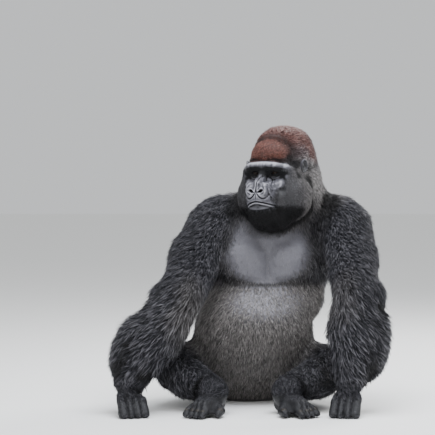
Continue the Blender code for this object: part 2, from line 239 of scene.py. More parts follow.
def linear(hex_colour):
    """A colour written as sRGB hex, such as "6e3b33", as linear red, green, blue and 1."""
    parts = [int(hex_colour[i : i + 2], 16) / 255 for i in (0, 2, 4)]
    return (*(p / 12.92 if p <= 0.04045 else ((p + 0.055) / 1.055) ** 2.4 for p in parts), 1.0)


def add_node(material, kind, settings=(), **links):
    """Adds a node: settings are attributes, and each link is a value or another node's socket."""
    node = material.node_tree.nodes.new("ShaderNode" + kind)
    for name, value in dict(settings).items():
        setattr(node, name, value)
    for name, value in links.items():
        key = int(name[1:]) if name[1:].isdigit() else name.replace("_", " ")
        socket_shade = node.inputs[key]
        if isinstance(value, bpy.types.NodeSocket):
            material.node_tree.links.new(value, socket_shade)
        else:
            socket_shade.default_value = value
    return node


def new_material(name):
    """A material, its default shader, and add_node for this material."""
    made = bpy.data.materials.new(name)
    made.use_nodes = True
    return made, made.node_tree.nodes["Principled BSDF"], partial(add_node, made)


def finish_shader(shader, **values):
    """Sets the shader's own sockets: numbers and colours stay on them, and outputs are linked."""
    for name, value in values.items():
        socket_shade = shader.inputs[name.replace("_", " ")]
        if isinstance(value, bpy.types.NodeSocket):
            shader.id_data.links.new(value, socket_shade)
        else:
            socket_shade.default_value = value


print("mid grey 808080 in linear light:", [round(part, 3) for part in linear("808080")])

# %% [markdown]
# ## Floor and light
#
# A still model is best judged on a plain matt floor in soft light. The floor is
# painted board: pale, with a high roughness, so that it shows a soft shadow and
# no reflection. The world gives most of the light, as an overcast sky does, a
# wide lamp overhead models the brow and shoulders, and two weak ones, in front
# and behind, keep the black coat apart from its own shadows.

# %% Floor and lamps
FLOOR_HALF = 14.0
SKY_STRENGTH = 0.92
LAMP_AIM = Vector((0.0, -0.1, 0.6))

floor_material, floor_shader, _ = new_material("matt_studio_floor")
finish_shader(floor_shader, Base_Color=linear("f5f5f3"), Roughness=0.9)
floor_mesh = bpy.data.meshes.new("floor")
corners = [(x * FLOOR_HALF, y * FLOOR_HALF, 0.0) for x, y in ((-1, -1), (1, -1), (1, 1), (-1, 1))]
floor_mesh.from_pydata(corners, [], [(0, 1, 2, 3)])
floor = bpy.data.objects.new("floor", floor_mesh)
floor_mesh.materials.append(floor_material)
bpy.context.scene.collection.objects.link(floor)
floor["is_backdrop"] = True

world = bpy.data.worlds.new("studio")
bpy.context.scene.world = world
world.use_nodes = True
finish_shader(world.node_tree.nodes["Background"], Color=linear("e6e8ea"), Strength=SKY_STRENGTH)


def add_lamp(name, place, size, watts, colour="ffffff"):
    """A square soft lamp that faces the animal's chest."""
    data = bpy.data.lights.new(name, "AREA")
    data.size = size
    data.energy = watts
    data.color = linear(colour)[:3]
    lamp = bpy.data.objects.new(name, data)
    lamp.location = place
    lamp.rotation_euler = (LAMP_AIM - lamp.location).to_track_quat("-Z", "Y").to_euler()
    bpy.context.scene.collection.objects.link(lamp)


add_lamp("sky", (0.3, -0.8, 3.4), 2.6, 205, "f4f8ff")
add_lamp("window", (-1.0, -3.6, 2.0), 1.6, 40)
add_lamp("rim", (2.2, 2.0, 2.4), 1.2, 110)
print("lamps:", [lamp.name for lamp in bpy.data.lights])

# %% [markdown]
# ## One skin
#
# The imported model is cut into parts, and a real animal has one skin without a
# seam. So copies of the parts are swollen by a millimetre, which closes the cuts,
# and a voxel remesh draws one closed surface of even squares round them all. A
# boolean union would keep the cuts' sharp rings, which the remesh melts away.

# %% Join the parts under one surface
FLESH = [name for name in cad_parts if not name.startswith("ear_")]
CLOSE_CUTS = 0.001
SKIN_GRAIN = 0.01017
SAME_PLACE = 1e-5


def new_object(name, mesh):
    """An object at the origin that shows this mesh."""
    made = bpy.data.objects.new(name, mesh)
    bpy.context.scene.collection.objects.link(made)
    return made


def move_points(mesh, places):
    """Puts a mesh's vertices at these places, one row each."""
    mesh.vertices.foreach_set("co", np.ascontiguousarray(places).ravel())
    mesh.update()


def swollen_copy(names, swell):
    """One mesh of the named parts, its corners joined, each point moved outwards by swell."""
    bm = bmesh.new()
    for name in names:
        bm.from_mesh(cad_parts[name].data)
    bmesh.ops.remove_doubles(bm, verts=bm.verts, dist=SAME_PLACE)
    mesh = bpy.data.meshes.new("flesh")
    bm.to_mesh(mesh)
    bm.free()
    move_points(mesh, points_of(mesh) + normals_of(mesh) * swell)
    return mesh


def with_modifier(obj, kind, **settings):
    """The object's mesh after one modifier, with the modifier gone again."""
    modifier = obj.modifiers.new(kind.lower(), kind)
    for name, value in settings.items():
        setattr(modifier, name, value)
    depsgraph = bpy.context.evaluated_depsgraph_get()
    mesh = bpy.data.meshes.new_from_object(obj.evaluated_get(depsgraph))
    obj.modifiers.remove(modifier)
    return mesh


flesh = new_object("flesh", swollen_copy(FLESH, CLOSE_CUTS))
skin_mesh = with_modifier(flesh, "REMESH", mode="VOXEL", voxel_size=SKIN_GRAIN)
print("skin squares:", len(skin_mesh.polygons))

# %% [markdown]
# ## Smoothing
#
# The squares of a remesh leave a faint staircase, and masks need soft edges. Both
# are cured by one function that moves each row of a table towards the mean of
# its neighbours along the edges. It works on places, normals and masks alike.

# %% Smooth over neighbours


def edges_of(mesh):
    """The two ends of each edge of a mesh, one row each."""
    pairs = np.empty(len(mesh.edges) * 2, np.int64)
    mesh.edges.foreach_get("vertices", pairs)
    return pairs.reshape(-1, 2)


def soften(values, edges, rounds, share=0.5):
    """Moves each row towards the mean of its neighbours: v + share * (mean - v)."""
    values = np.array(values, float)
    count = len(values)
    ends = np.concatenate((edges[:, 0], edges[:, 1]))
    others = np.concatenate((edges[:, 1], edges[:, 0]))
    number = np.maximum(np.bincount(ends, minlength=count), 1)
    table = values.reshape(count, -1)
    share = np.broadcast_to(share, count)
    for _ in range(rounds):
        for column in range(table.shape[1]):
            total = np.bincount(ends, weights=table[others, column], minlength=count)
            table[:, column] += share * (total / number - table[:, column])
    return table.reshape(values.shape)


move_points(skin_mesh, soften(points_of(skin_mesh), edges_of(skin_mesh), 2))
print("skin box after smoothing, metres:", np.round(np.ptp(points_of(skin_mesh), axis=0), 3))

# %% [markdown]
# ## Finer squares where the detail is
#
# Squares of ten millimetres are enough under a coat, but the edge of an eyelid
# needs squares of less than one. So the face is split in four up to four times,
# each time over a smaller region, and the hands, feet and breast once. After each
# split the surface is laid on the parts again, and then smoothed, because the
# parts have flat facets.

# %% Split and lay on


def refine(mesh, wanted):
    """Splits each edge that has both ends wanted, and so each square in four."""
    bm = bmesh.new()
    bm.from_mesh(mesh)
    chosen = [edge for edge in bm.edges if all(wanted[v.index] for v in edge.verts)]
    bmesh.ops.subdivide_edges(bm, edges=chosen, cuts=1, use_grid_fill=True)
    made = bpy.data.meshes.new("finer")
    bm.to_mesh(made)
    bm.free()
    return made


def lay_on(mesh, target, how_much):
    """Moves each point towards the nearest place on the target, by how_much from 0 to 1."""
    obj = new_object("laid", mesh)
    laid = points_of(with_modifier(obj, "SHRINKWRAP", target=target))
    bpy.data.objects.remove(obj)
    places = points_of(mesh)
    move_points(mesh, places + (laid - places) * np.asarray(how_much)[:, None])


def refined(mesh, region, target, rounds):
    """The mesh with one region split, laid on the target and smoothed for some rounds."""
    mesh = refine(mesh, region(points_of(mesh)) > 0.5)
    inside = step(0.2, 0.9, soften(region(points_of(mesh)), edges_of(mesh), 6))
    lay_on(mesh, target, inside)
    move_points(mesh, soften(points_of(mesh), edges_of(mesh), rounds, 0.5 * inside))
    print("squares:", len(mesh.polygons))
    return mesh


print("squares before any split:", len(skin_mesh.polygons))

# %% [markdown]
# ## Regions of the face
#
# Each region is a function of a place: 1 where the surface needs finer squares,
# and 0 elsewhere. The ones on the head are eggs in its own frame, so they turn
# with it, and each is smaller than the one before: the face, its middle, and a
# ring round each eye.

# %% Regions of the face
EGG_EDGE = 0.92


def in_egg(points, front, centre, size):
    """1 inside an egg in head coordinates, 0 outside; a point before front counts as on it."""
    h = np.maximum(to_head(points), (-1, front, -1))
    return 1 - step(EGG_EDGE, 1.0, np.linalg.norm((h - centre) / size, axis=1))


def face_region(points, size=1.0):
    """1 within an egg round the middle of the face, 0 well outside it; size scales the egg."""
    return in_egg(points, -0.060, (0, -0.01, -0.045), np.array((0.115, 0.085, 0.150)) * size)


def middle_of_face(points):
    """1 over the eyes, nose and mouth, where the finest folds are."""
    return in_egg(points, -0.090, (0, -0.03, -0.045), np.array((0.072, 0.085, 0.086)))


EYE_RIM = 0.0165


def eye_rims(points):
    """1 round each eye, where the edges of the lids are."""
    q = to_head(points)
    reach = np.hypot(np.abs(q[:, 0]) - EYE_APART, q[:, 2] - EYE_RISE) / EYE_RIM
    return (1 - step(EGG_EDGE, 1.0, reach)) * (q[:, 1] < 0.02)


rims = int((eye_rims(points_of(skin_mesh)) > 0.5).sum())
print("points round the eyes before any split:", rims)

# %% [markdown]
# ## Hands, feet and breast
#
# Toes and fingers are long and narrow, so a box round each hand and foot takes in
# all of them. The breast's region is an egg about its middle, which hangs from
# the shoulders, so it would move with them if the pose were another.

# %% Regions of the body


def inside_box(points, node, margin):
    """1 within a node's box grown by a margin on each side, and 0 outside it."""
    low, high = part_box(node)
    return np.all((points > np.array(low) - margin) & (points < np.array(high) + margin), axis=1) * 1.0


def tips_region(points):
    """1 on the hands and feet, beyond the wrists and ankles."""
    found = np.zeros(len(points))
    for side, _ in SIDES:
        for part in ("hand_", "foot_"):
            found = np.maximum(found, inside_box(points, part + side, 0.012))
    return found


CHEST_FROM_SHOULDERS = (-0.038, 0.0, -0.095)
CHEST = (JOINTS["shoulder", "right"] + JOINTS["shoulder", "left"]) / 2 + CHEST_FROM_SHOULDERS
PEC_FOLD = CHEST[2] - 0.082


def chest_region(points):
    """1 on the breast, where the folds under its muscles are."""
    q = (points - CHEST) / (0.19, 0.30, 0.12) + (0, 0.4, 0.12)
    return 1 - step(0.90, 1.0, np.linalg.norm(q, axis=1))


print("middle of the breast, metres:", np.round(CHEST, 3).tolist())

# %% [markdown]
# ## Splitting, region by region
#
# The face is split first, down to the rims of the eyes, then the digits and the
# breast, and each new surface is laid on the part that it stands for. Nothing is
# split under the coat of the limbs and back, because the hair hides it.

# %% Split the skin
head_form = new_object("head_form", swollen_copy(["head", "eye_left", "eye_right"], 0.0))
tips_form = new_object("tips_form", swollen_copy([n for n in FLESH if n.startswith(("hand", "foot"))], 0.0))

skin_mesh = refined(skin_mesh, face_region, head_form, 3)
skin_mesh = refined(skin_mesh, lambda points: face_region(points, 0.94), head_form, 4)
skin_mesh = refined(skin_mesh, middle_of_face, head_form, 6)
skin_mesh = refined(skin_mesh, eye_rims, head_form, 2)
skin_mesh = refined(skin_mesh, tips_region, tips_form, 3)
skin_mesh = refined(skin_mesh, chest_region, flesh, 4)

# %% [markdown]
# ## The face, drawn by functions
#
# A gorilla's face is bare black skin, and its folds are what make it alive. Each
# fold is a small function of the place on the face, seen from in front: x to
# the side and z up, in metres from between the eyes. The functions add up to
# how far the skin moves forwards, and both halves share them through |x|.

# %% [markdown]
# ## Eyelids
#
# A lid is skin stretched over a ball. So the skin is lifted to a ball a little
# larger than the eye, and inside an almond-shaped opening it is pressed back
# behind the eyeball, which leaves a rim with a real edge to catch the light.

# %% Eyelids
EYELID_RADIUS = 0.0137
BEHIND_EYE = 0.0098
EYE_OPENING = (0.0140, 0.0060, 0.0056)
LID_SOFTNESS = 0.0025
LID_SLOPE = 0.10
EYE_CENTRE = np.array((EYE_APART, EYE_DEPTH, EYE_RISE))


def opening_edge(x, z):
    """How far a place is outside the almond opening, in metres, negative inside.

    The upper lid is a flat-topped arc and the lower lid a parabola, and the
    inner corner sits a little lower than the outer one.
    """
    half, above, below = EYE_OPENING
    z = z - LID_SLOPE * x
    t = np.clip(np.abs(x) / half, 0, 1)
    upper = above * (1 - t**2.6)
    lower = -below * (1 - t**1.8)
    return np.maximum(np.maximum(z - upper, lower - z), np.abs(x) - half)


def with_eyelids(h):
    """The skin lifted to a ball round each eye, and pressed behind it inside the opening."""
    q = h.copy()
    q[:, 0] = np.abs(q[:, 0])
    q -= EYE_CENTRE
    across = np.hypot(q[:, 0], q[:, 2])
    front = (q[:, 1] < 0.004) & (across < 0.030)
    ball = -np.sqrt(np.maximum(EYELID_RADIUS**2 - across**2, 0.0))
    mix = np.clip(0.5 + (q[:, 1] - ball) / (2 * LID_SOFTNESS), 0, 1)
    lifted = q[:, 1] * (1 - mix) + ball * mix - LID_SOFTNESS * mix * (1 - mix)
    lifted = np.where(across < EYELID_RADIUS, lifted, q[:, 1])
    edge = opening_edge(q[:, 0], q[:, 2])
    inside = 1 - step(-0.0011, 0.0001, edge)
    behind = -np.sqrt(np.maximum(BEHIND_EYE**2 - across**2, 0.0))
    margin = 0.0007 * hill(edge, 0.0010, 0.0011)
    crease = 0.0012 * hill(edge, 0.0050, 0.0011) * (q[:, 2] > 0)
    new = (lifted - margin + crease) * (1 - inside) + np.maximum(behind, q[:, 1]) * inside
    moved = h.copy()
    moved[front, 1] = (new + EYE_CENTRE[1])[front]
    return moved


print("eyelid opening, mm:", tuple(round(x * 1000, 1) for x in EYE_OPENING))

# %% [markdown]
# ## The nose
#
# A gorilla's nose is two thick padded wings that lean together like a heart, and
# the nostrils open forwards inside them. Each wing is a ring-shaped hill round
# an ellipse, with a hollow for the nostril and a groove between the two. One
# height function keeps their meeting lines soft, as joined solids would not.

# %% Nose
NOSE_PAD = (0.0210, -0.0475)
NOSE_PAD_SIZE = (0.0190, 0.0345)
NOSE_LEAN = math.radians(15)
NOSTRIL = (0.0175, -0.0600)
NOSTRIL_SIZE = (0.0136, 0.0074)
NOSTRIL_LEAN = math.radians(24)


def turned(x, z, centre, angle):
    """Places seen from a centre, in axes turned by an angle."""
    x, z = x - centre[0], z - centre[1]
    return x * math.cos(angle) + z * math.sin(angle), z * math.cos(angle) - x * math.sin(angle)


def nose(x, z):
    """Two thick padded rings that lean together into a heart, with the nostrils inside.

    With r the length of (a / width, b / height) in the pad's own axes, the pad is a
    hill at r = 0.86 and its outline a dip at r = 1.20. The nostril is a step down
    inside a smaller ellipse of its own, and the groove is a dip at x = 0.
    """
    a, b = turned(x, z, NOSE_PAD, NOSE_LEAN)
    ring = np.hypot(a / NOSE_PAD_SIZE[0], b / NOSE_PAD_SIZE[1])
    pad = 0.0060 * hill(ring, 0.86, 0.24)
    pad += 0.0012 * (1 - step(0.5, 0.8, ring)) * step(-0.062, -0.045, z)
    outline = -0.0042 * hill(ring, 1.20, 0.11)
    outline -= 0.0050 * hill(ring, 1.55, 0.30) * hill(z, -0.055, 0.035) * step(0.030, 0.042, x)
    groove = -0.0030 * hill(x, 0, 0.0020) * step(-0.092, -0.080, z) * (1 - 0.6 * step(-0.062, -0.048, z))
    groove *= 1 - step(-0.034, -0.018, z)
    a, b = turned(x, z, NOSTRIL, NOSTRIL_LEAN)
    wider_outside = 0.80 + 0.35 * np.clip(a / NOSTRIL_SIZE[0], -1, 1)
    hole = np.hypot(a / NOSTRIL_SIZE[0], b / (NOSTRIL_SIZE[1] * wider_outside))
    nostril = -0.017 * (1 - step(0.60, 1.05, hole)) + 0.0018 * hill(hole, 1.25, 0.20)
    return pad + outline + groove + nostril


print("nostrils apart, mm:", round(NOSTRIL[0] * 2000))

# %% [markdown]
# ## The mouth
#
# The mouth is shut and wide, and its ends droop, which gives the calm, stern look
# of a resting male. It is one narrow groove along a curved line, with the edge of
# a lip above and below it, and a short groove that runs up towards the nose.

# %% Mouth
MOUTH_HALF = 0.068
MOUTH_HIGH = -0.1010
MOUTH_DROP = 0.0250
MOUTH_SLANT = 0.05


def mouth_line(x):
    """The height of the shut lips: z = high - drop * t^2, with a small peak in the middle."""
    t = np.abs(x) / MOUTH_HALF
    droop = MOUTH_DROP * np.minimum(t, 1.15) ** 2
    return MOUTH_HIGH - droop + 0.0016 * hill(t, 0, 0.25) + MOUTH_SLANT * x


def mouth(x, z):
    """A shut mouth: one groove that droops to its corners, with a lip edge above and below.

    Each is depth * exp(-((z - line - offset) / width)^2), fading out past the corners.
    """
    line = mouth_line(x)
    x = np.abs(x)
    t = x / MOUTH_HALF
    off = z - line
    along = 1 - step(0.95, 1.12, t)
    slit = -0.0066 * hill(off, 0, 0.0021) * along
    upper = 0.0020 * hill(off, 0.0045, 0.0032) * along
    lower = 0.0034 * hill(off, -0.0042, 0.0019) * along
    under = -0.0014 * hill(off, -0.0110, 0.0040) * (1 - step(0.6, 1.0, t))
    corner = -0.0030 * hill(np.hypot((x - MOUTH_HALF * 1.06) / 0.006, (off + 0.002) / 0.010), 0, 1.0)
    philtrum = -0.0013 * hill(x, 0, 0.0024) * step(-0.001, 0.004, off) * (1 - step(0.012, 0.018, off))
    return slit + upper + lower + under + corner + philtrum


print("mouth, mm wide:", round(MOUTH_HALF * 2000))

# %% [markdown]
# ## Folds of the brow and cheeks
#
# Old skin folds where it is bent most: upright lines between the brows, bags and
# rays under the eyes, and a long fold beside the nose. Each is a groove between
# two places with a bell-shaped cross-section that fades out at its ends. Sizes
# are in metres, from 1 to 3 mm deep, which is what a hand could feel.

# %% Folds


def groove_along(x, z, start, end, width, depth):
    """A groove between two places: -depth * exp(-(distance / width)^2), fading at the ends."""
    run = np.array(end) - np.array(start)
    t = ((x - start[0]) * run[0] + (z - start[1]) * run[1]) / (run @ run)
    near = np.clip(t, 0, 1)
    distance = np.hypot(x - start[0] - near * run[0], z - start[1] - near * run[1])
    return -depth * hill(distance, 0, width) * step(0, 0.25, near) * (1 - step(0.5, 1, near))


BROW_LINES = (
    (-0.0165, 18, 44, 0.6),
    (-0.0080, 8, 48, 1.0),
    (-0.0005, 13, 38, 0.6),
    (0.0068, 7, 50, 1.0),
    (0.0158, 19, 42, 0.7),
)
EYE_BAGS = ((0.0175, 0.0015), (0.0235, 0.0012), (0.0300, 0.0009))
FOLDS = (
    ((0.043, -0.062), (0.060, -0.112), 0.0035, 0.0030),
    ((0.020, -0.006), (0.052, -0.030), 0.0024, 0.0018),
    ((0.026, -0.020), (0.052, -0.048), 0.0018, 0.0016),
    ((0.034, -0.024), (0.064, -0.046), 0.0018, 0.0014),
    ((0.058, 0.006), (0.080, -0.004), 0.0018, 0.0012),
    ((0.058, 0.000), (0.076, -0.018), 0.0018, 0.0010),
    ((0.008, 0.004), (0.013, -0.016), 0.0015, 0.0014),
    ((0.013, 0.006), (0.020, -0.010), 0.0015, 0.0014),
)


def frown(x, z):
    """Upright lines over the nose: -depth * exp(-((x - bend) / width)^2) between two heights.

    Each has its own place, lower and upper end in mm, and depth in mm, and it bends
    outwards with height and wavers as a sine.
    """
    total = np.zeros(len(x))
    for place, low, high, deep in BROW_LINES:
        bend = place * (1 + 9 * (z - 0.025)) + 0.0012 * np.sin(240 * z + 300 * place)
        between = step(low, low + 14, z * 1000) * (1 - step(high - 9, high + 3, z * 1000))
        total -= deep * 0.001 * hill(x, bend, 0.0013 + 0.0004 * deep) * between
    return total


def folds(x, z):
    """Lines across the root of the nose, bags under the eyes, and rays from their inner corners.

    The lines are bells of z about a height, the bags are bells of the distance from
    the eye about a radius, and the rays are grooves between two places.
    """
    total = -0.0020 * hill(np.hypot((x - EYE_APART - 0.002) / 0.032, (z - 0.0200) / 0.0070), 0, 1)
    for height in (0.008, 0.0135):
        total -= 0.0012 * hill(z, height + 4 * x**2, 0.0012) * (1 - step(0.008, 0.014, x))
    away = np.hypot((x - EYE_APART) / 1.15, z - EYE_RISE)
    under = step(0.002, 0.012, EYE_RISE - z)
    for radius, depth in EYE_BAGS:
        total -= depth * hill(away, radius, 0.0016) * under
    total += 0.0016 * hill(away, 0.0205, 0.0030) * under
    for start, end, width, depth in FOLDS:
        total += groove_along(x, z, start, end, width, depth)
    top = 0.046 + 0.008 * hill(x, 0, 0.03) - 12.0 * np.maximum(x - 0.05, 0) ** 2
    total -= 0.0018 * hill(z, top, 0.0035) * (1 - step(0.085, 0.100, x))
    return total


print("folds drawn one by one:", len(BROW_LINES) + len(FOLDS))

# %% [markdown]
# ## The domed forehead
#
# A silverback's crown rises in a dome behind the brow, and a crease runs round its
# foot. Both follow from one number, how far a place is from the middle of an
# ellipse on the front of the head: below 1 the skin rises, near 1.1 it sinks.

# %% The domed forehead
DOME_MIDDLE, DOME_SIZE = (0.0, 0.068), (0.078, 0.066)
DOME_RISE, DOME_CREASE = 0.005, 0.008
print("dome, mm wide and tall:", [round(size * 2000) for size in DOME_SIZE])


def dome_reach(h):
    """1 on the edge of the domed forehead as seen from in front, and less inside it."""
    return np.hypot((h[:, 0] - DOME_MIDDLE[0]) / DOME_SIZE[0], (h[:, 2] - DOME_MIDDLE[1]) / DOME_SIZE[1])


def dome_front(h):
    """1 on the front of the crown, fading towards the brow and the back of the head."""
    return step(0.048, 0.066, h[:, 2]) * (1 - step(0.10, 0.14, h[:, 1]))


def with_dome(mesh):
    """The forehead raised, and a crease round it: rise * (1 - step) - crease * bell(reach)."""
    places = points_of(mesh)
    h = to_head(places)
    reach = dome_reach(h)
    rise = DOME_RISE * (1 - step(0.45, 1.0, reach)) - DOME_CREASE * hill(reach, 1.10, 0.13)
    places += normals_of(mesh) * (rise * dome_front(h))[:, None]
    move_points(mesh, places)


# %% [markdown]
# ## Fingers and toes
#
# What tells one finger or toe from the next is the groove between them. Here a
# groove is pressed in between the digits, and creases across the knuckles, each
# a bell-shaped groove in the foot's or hand's own frame. They press along the
# normals, so one rule serves the top, the front and the sides of a digit.

# %% Hands and feet
FOOT_TURNS = {"right": math.radians(-20), "left": math.radians(24)}
FOOT_ORIGIN = {"right": (0.0276, 0.0584), "left": (-0.0322, 0.0563)}
HAND_TURNS = {"right": math.radians(14), "left": math.radians(-12)}
HAND_ORIGIN = {"right": (-0.0162, 0.0496), "left": (0.0157, 0.0476)}
FINGER_PITCH, TOE_PITCH = 0.0268, 0.0238
FIRST_TOE = 0.0100 - 1.2 * 0.0235
FINGERS_START, TOES_START = -0.050, -0.104
BETWEEN_DIGITS, ACROSS_DIGITS = 0.0085, 0.0011
KNUCKLE_HEIGHTS = (0.022, 0.028, 0.044, 0.050, 0.056)
KNUCKLE_LINES = (-0.070,)
TOE_LINES = (-0.134, -0.140, -0.156, -0.161)


def limb_frame(part, side):
    """The ankle or wrist on the floor, and the axes that turn a hand or foot into the world."""
    turns, origin = (FOOT_TURNS, FOOT_ORIGIN) if part == "foot" else (HAND_TURNS, HAND_ORIGIN)
    angle = turns[side]
    start = np.array(middle(part + "_" + side)) + (*origin[side], 0)
    start[2] = 0
    c, s = math.cos(angle), math.sin(angle)
    return start, np.array(((c, -s, 0), (s, c, 0), (0, 0, 1)))


def digits(x, y, z, gaps, start, heights, lines):
    """Grooves between the digits at each gap, and creases across them, as a rise in metres.

    The creases at the heights run over the front of the digits, and those at the
    lines run over their tops.
    """
    forward = 1 - step(start - 0.022, start, y)
    on_top = 1 - step(start - 0.006, start, y)
    rise = sum(-BETWEEN_DIGITS * hill(x, gap, 0.0030) for gap in gaps) * forward
    for height in heights:
        rise = rise - ACROSS_DIGITS * hill(z, height, 0.0014) * forward
    for line in lines:
        rise = rise - ACROSS_DIGITS * hill(y, line, 0.0014) * on_top
    return rise


def with_digits(mesh):
    """The mesh with its fingers and toes drawn on it; they press in along the normals."""
    places, normals = points_of(mesh), normals_of(mesh)
    for side, sign in SIDES:
        for part in ("hand", "foot"):
            start, axes = limb_frame(part, side)
            own = inside_box(places, part + "_" + side, 0.01)
            x, y, z = ((places - start) @ axes).T
            if part == "hand":
                gaps = [-FINGER_PITCH, 0.0, FINGER_PITCH]
                rise = digits(x, y, z, gaps, FINGERS_START, KNUCKLE_HEIGHTS, KNUCKLE_LINES)
            else:
                gaps = [sign * (FIRST_TOE + (toe + 0.5) * TOE_PITCH) for toe in range(3)]
                rise = digits(x, y, z, gaps, TOES_START, (), TOE_LINES)
            places += normals * (rise * own)[:, None]
    move_points(mesh, places)


print("fingers and toes apart, mm:", round(FINGER_PITCH * 1000, 1), round(TOE_PITCH * 1000, 1))

# %% [markdown]
# ## Sculpting
#
# All the height functions of the face are added up, and the skin moves forwards
# by their sum where it faces forwards. A little wobble in x and z keeps the folds
# from being ruled lines. The lips are smoothed first, so that the mouth is drawn
# on an even muzzle. Sculpting by functions keeps both halves of the face alike
# and gives the same face on every run.

# %% Sculpt the face
LIPS_CENTRE, LIPS_SIZE = (0, -0.09, -0.112), (0.080, 0.075, 0.032)
LIPS_ROUNDS = 60
WOBBLE = 0.0008


def sculpted(mesh):
    """Moves the front of the face forwards by the sum of its folds, and shapes the lids."""
    places, edges = points_of(mesh), edges_of(mesh)
    h = to_head(places)
    lips = 1 - step(0.8, 1.1, np.linalg.norm((h - LIPS_CENTRE) / LIPS_SIZE, axis=1))
    places = soften(places, edges, LIPS_ROUNDS, 0.5 * lips)
    move_points(mesh, places)
    h = to_head(places)
    facing = step(0.05, 0.45, -(normals_of(mesh) @ HEAD_AXES.T)[:, 1])
    facing = soften(np.maximum(facing, lips * (np.abs(h[:, 0]) < MOUTH_HALF * 1.2)), edges, 4)
    near = face_region(places) * facing
    x, z = np.abs(h[:, 0]), h[:, 2]
    wobble = WOBBLE * np.sin(210 * h[:, 0] + 3 * np.sin(160 * z)) * np.sin(190 * z + 1.3)
    forwards = nose(x, z) + mouth(h[:, 0], z) + folds(x + wobble, z + wobble) + frown(h[:, 0], z)
    h[:, 1] -= forwards * near
    around_eye = np.hypot(x - EYE_APART, z - EYE_RISE)
    h = soften(h, edges, 2, 0.4 * near * step(0.012, 0.020, around_eye))
    move_points(mesh, from_head(with_eyelids(h)))


sculpted(skin_mesh)
with_dome(skin_mesh)
print("points of the face:", int((face_region(points_of(skin_mesh)) > 0.5).sum()))

# %% [markdown]
# ## Breast and digits
#
# The bare breast shows the muscles under it: a groove down the breastbone, and
# one fold below that rises towards the sides. They are drawn like the face, as
# bells along lines, and the digits are pressed in last.

# %% Breast folds


def breast_fold(x):
    """The height of the fold under the breast, x from its middle: top + 0.012 (x / 0.15)^2."""
    return PEC_FOLD + 0.012 * (x / 0.15) ** 2


def with_breast_folds(mesh):
    """A groove down the breastbone, and the fold under the muscles with the swell above it."""
    places = points_of(mesh)
    x, z = places[:, 0] - CHEST[0], places[:, 2]
    facing = step(0.1, 0.5, -normals_of(mesh)[:, 1]) * (1 - step(0.14, 0.18, np.abs(x)))
    fold = breast_fold(x)
    above = step(PEC_FOLD - 0.01, PEC_FOLD + 0.02, z) * (1 - step(CHEST[2] + 0.02, CHEST[2] + 0.08, z))
    deep = 0.0042 * hill(z, fold, 0.0085) + 0.0028 * hill(x, 0, 0.0085) * above
    deep += 0.0022 * hill(z, fold + 0.018, 0.005) * hill(x, 0.01, 0.05)
    deep += 0.0014 * hill(z, fold - 0.018, 0.004) * hill(x, -0.01, 0.05)
    deep -= 0.0050 * hill(z, fold + 0.030, 0.018) * (1 - hill(x, 0, 0.02))
    below_chin = 1 - step(CHEST[2] + 0.09, CHEST[2] + 0.12, z)
    places[:, 1] += deep * facing * below_chin
    move_points(mesh, places)


with_breast_folds(skin_mesh)
with_digits(skin_mesh)
print("fold under the breast, metres up:", round(float(PEC_FOLD), 3))

# %% [markdown]
# ## Regions
#
# Hair differs from place to place: a hand's width on the forearms, a few
# millimetres on the cheeks, none on the nose. So each point of the skin gets
# shares of the body parts near it, which fade softly into each other, and
# everything about the coat is worked out from those shares.

# %% Shares of the body parts
PARTS = [name for name in FLESH if not name.startswith("eye_")]
SHARE_ROUNDS = 26
CHUNK = 4000


def part_samples():
    """The centre of each triangle of each part, and which part it is."""
    centres, owners = [], []
    for index, name in enumerate(PARTS):
        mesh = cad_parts[name].data
        corners = np.empty(len(mesh.polygons) * 3, np.int64)
        mesh.polygons.foreach_get("vertices", corners)
        centres.append(NODE_POINTS[name][corners].reshape(-1, 3, 3).mean(axis=1))
        owners.append(np.full(len(centres[-1]), index))
    return np.concatenate(centres), np.concatenate(owners)


def nearest_part(points):
    """The part whose triangle centre is nearest: |p - c|^2 without the |p|^2 that all share."""
    centres, owners = part_samples()
    lengths = (centres**2).sum(axis=1)
    found = np.empty(len(points), np.int64)
    for start in range(0, len(points), CHUNK):
        gaps = lengths - 2 * points[start : start + CHUNK] @ centres.T
        found[start : start + CHUNK] = owners[gaps.argmin(axis=1)]
    return found


places = points_of(skin_mesh)
edges = edges_of(skin_mesh)
nearest = nearest_part(places)
shares = soften(np.eye(len(PARTS))[nearest], edges, SHARE_ROUNDS)
SHARE = {name: shares[:, index] for index, name in enumerate(PARTS)}


def both(part):
    """The shares of a part on the right and on the left, added."""
    return SHARE[part + "_right"] + SHARE[part + "_left"]


print({name: int((nearest == i).sum()) for i, name in enumerate(PARTS)})

# %% [markdown]
# ## Bare skin and hair
#
# The brow, eyes, nose, lips and breast are bare, and hair thins out towards them
# over a few millimetres. Each bare region is a sum of soft ellipses seen from in
# front, times how far the skin faces forwards. A painted mask could do the same,
# but it would have to be painted again whenever a fold moves.

# %% Masks on the head and the front of the body
h = to_head(places)
smooth_normals = unit(soften(normals_of(skin_mesh), edges, 4))
n_head = smooth_normals @ HEAD_AXES.T


def egg(x, z, centre, size, soft=0.12):
    """1 inside an ellipse, fading to 0 over a soft edge."""
    reach = np.hypot((x - centre[0]) / size[0], (z - centre[1]) / size[1])
    return 1 - step(1 - soft, 1 + soft, reach)


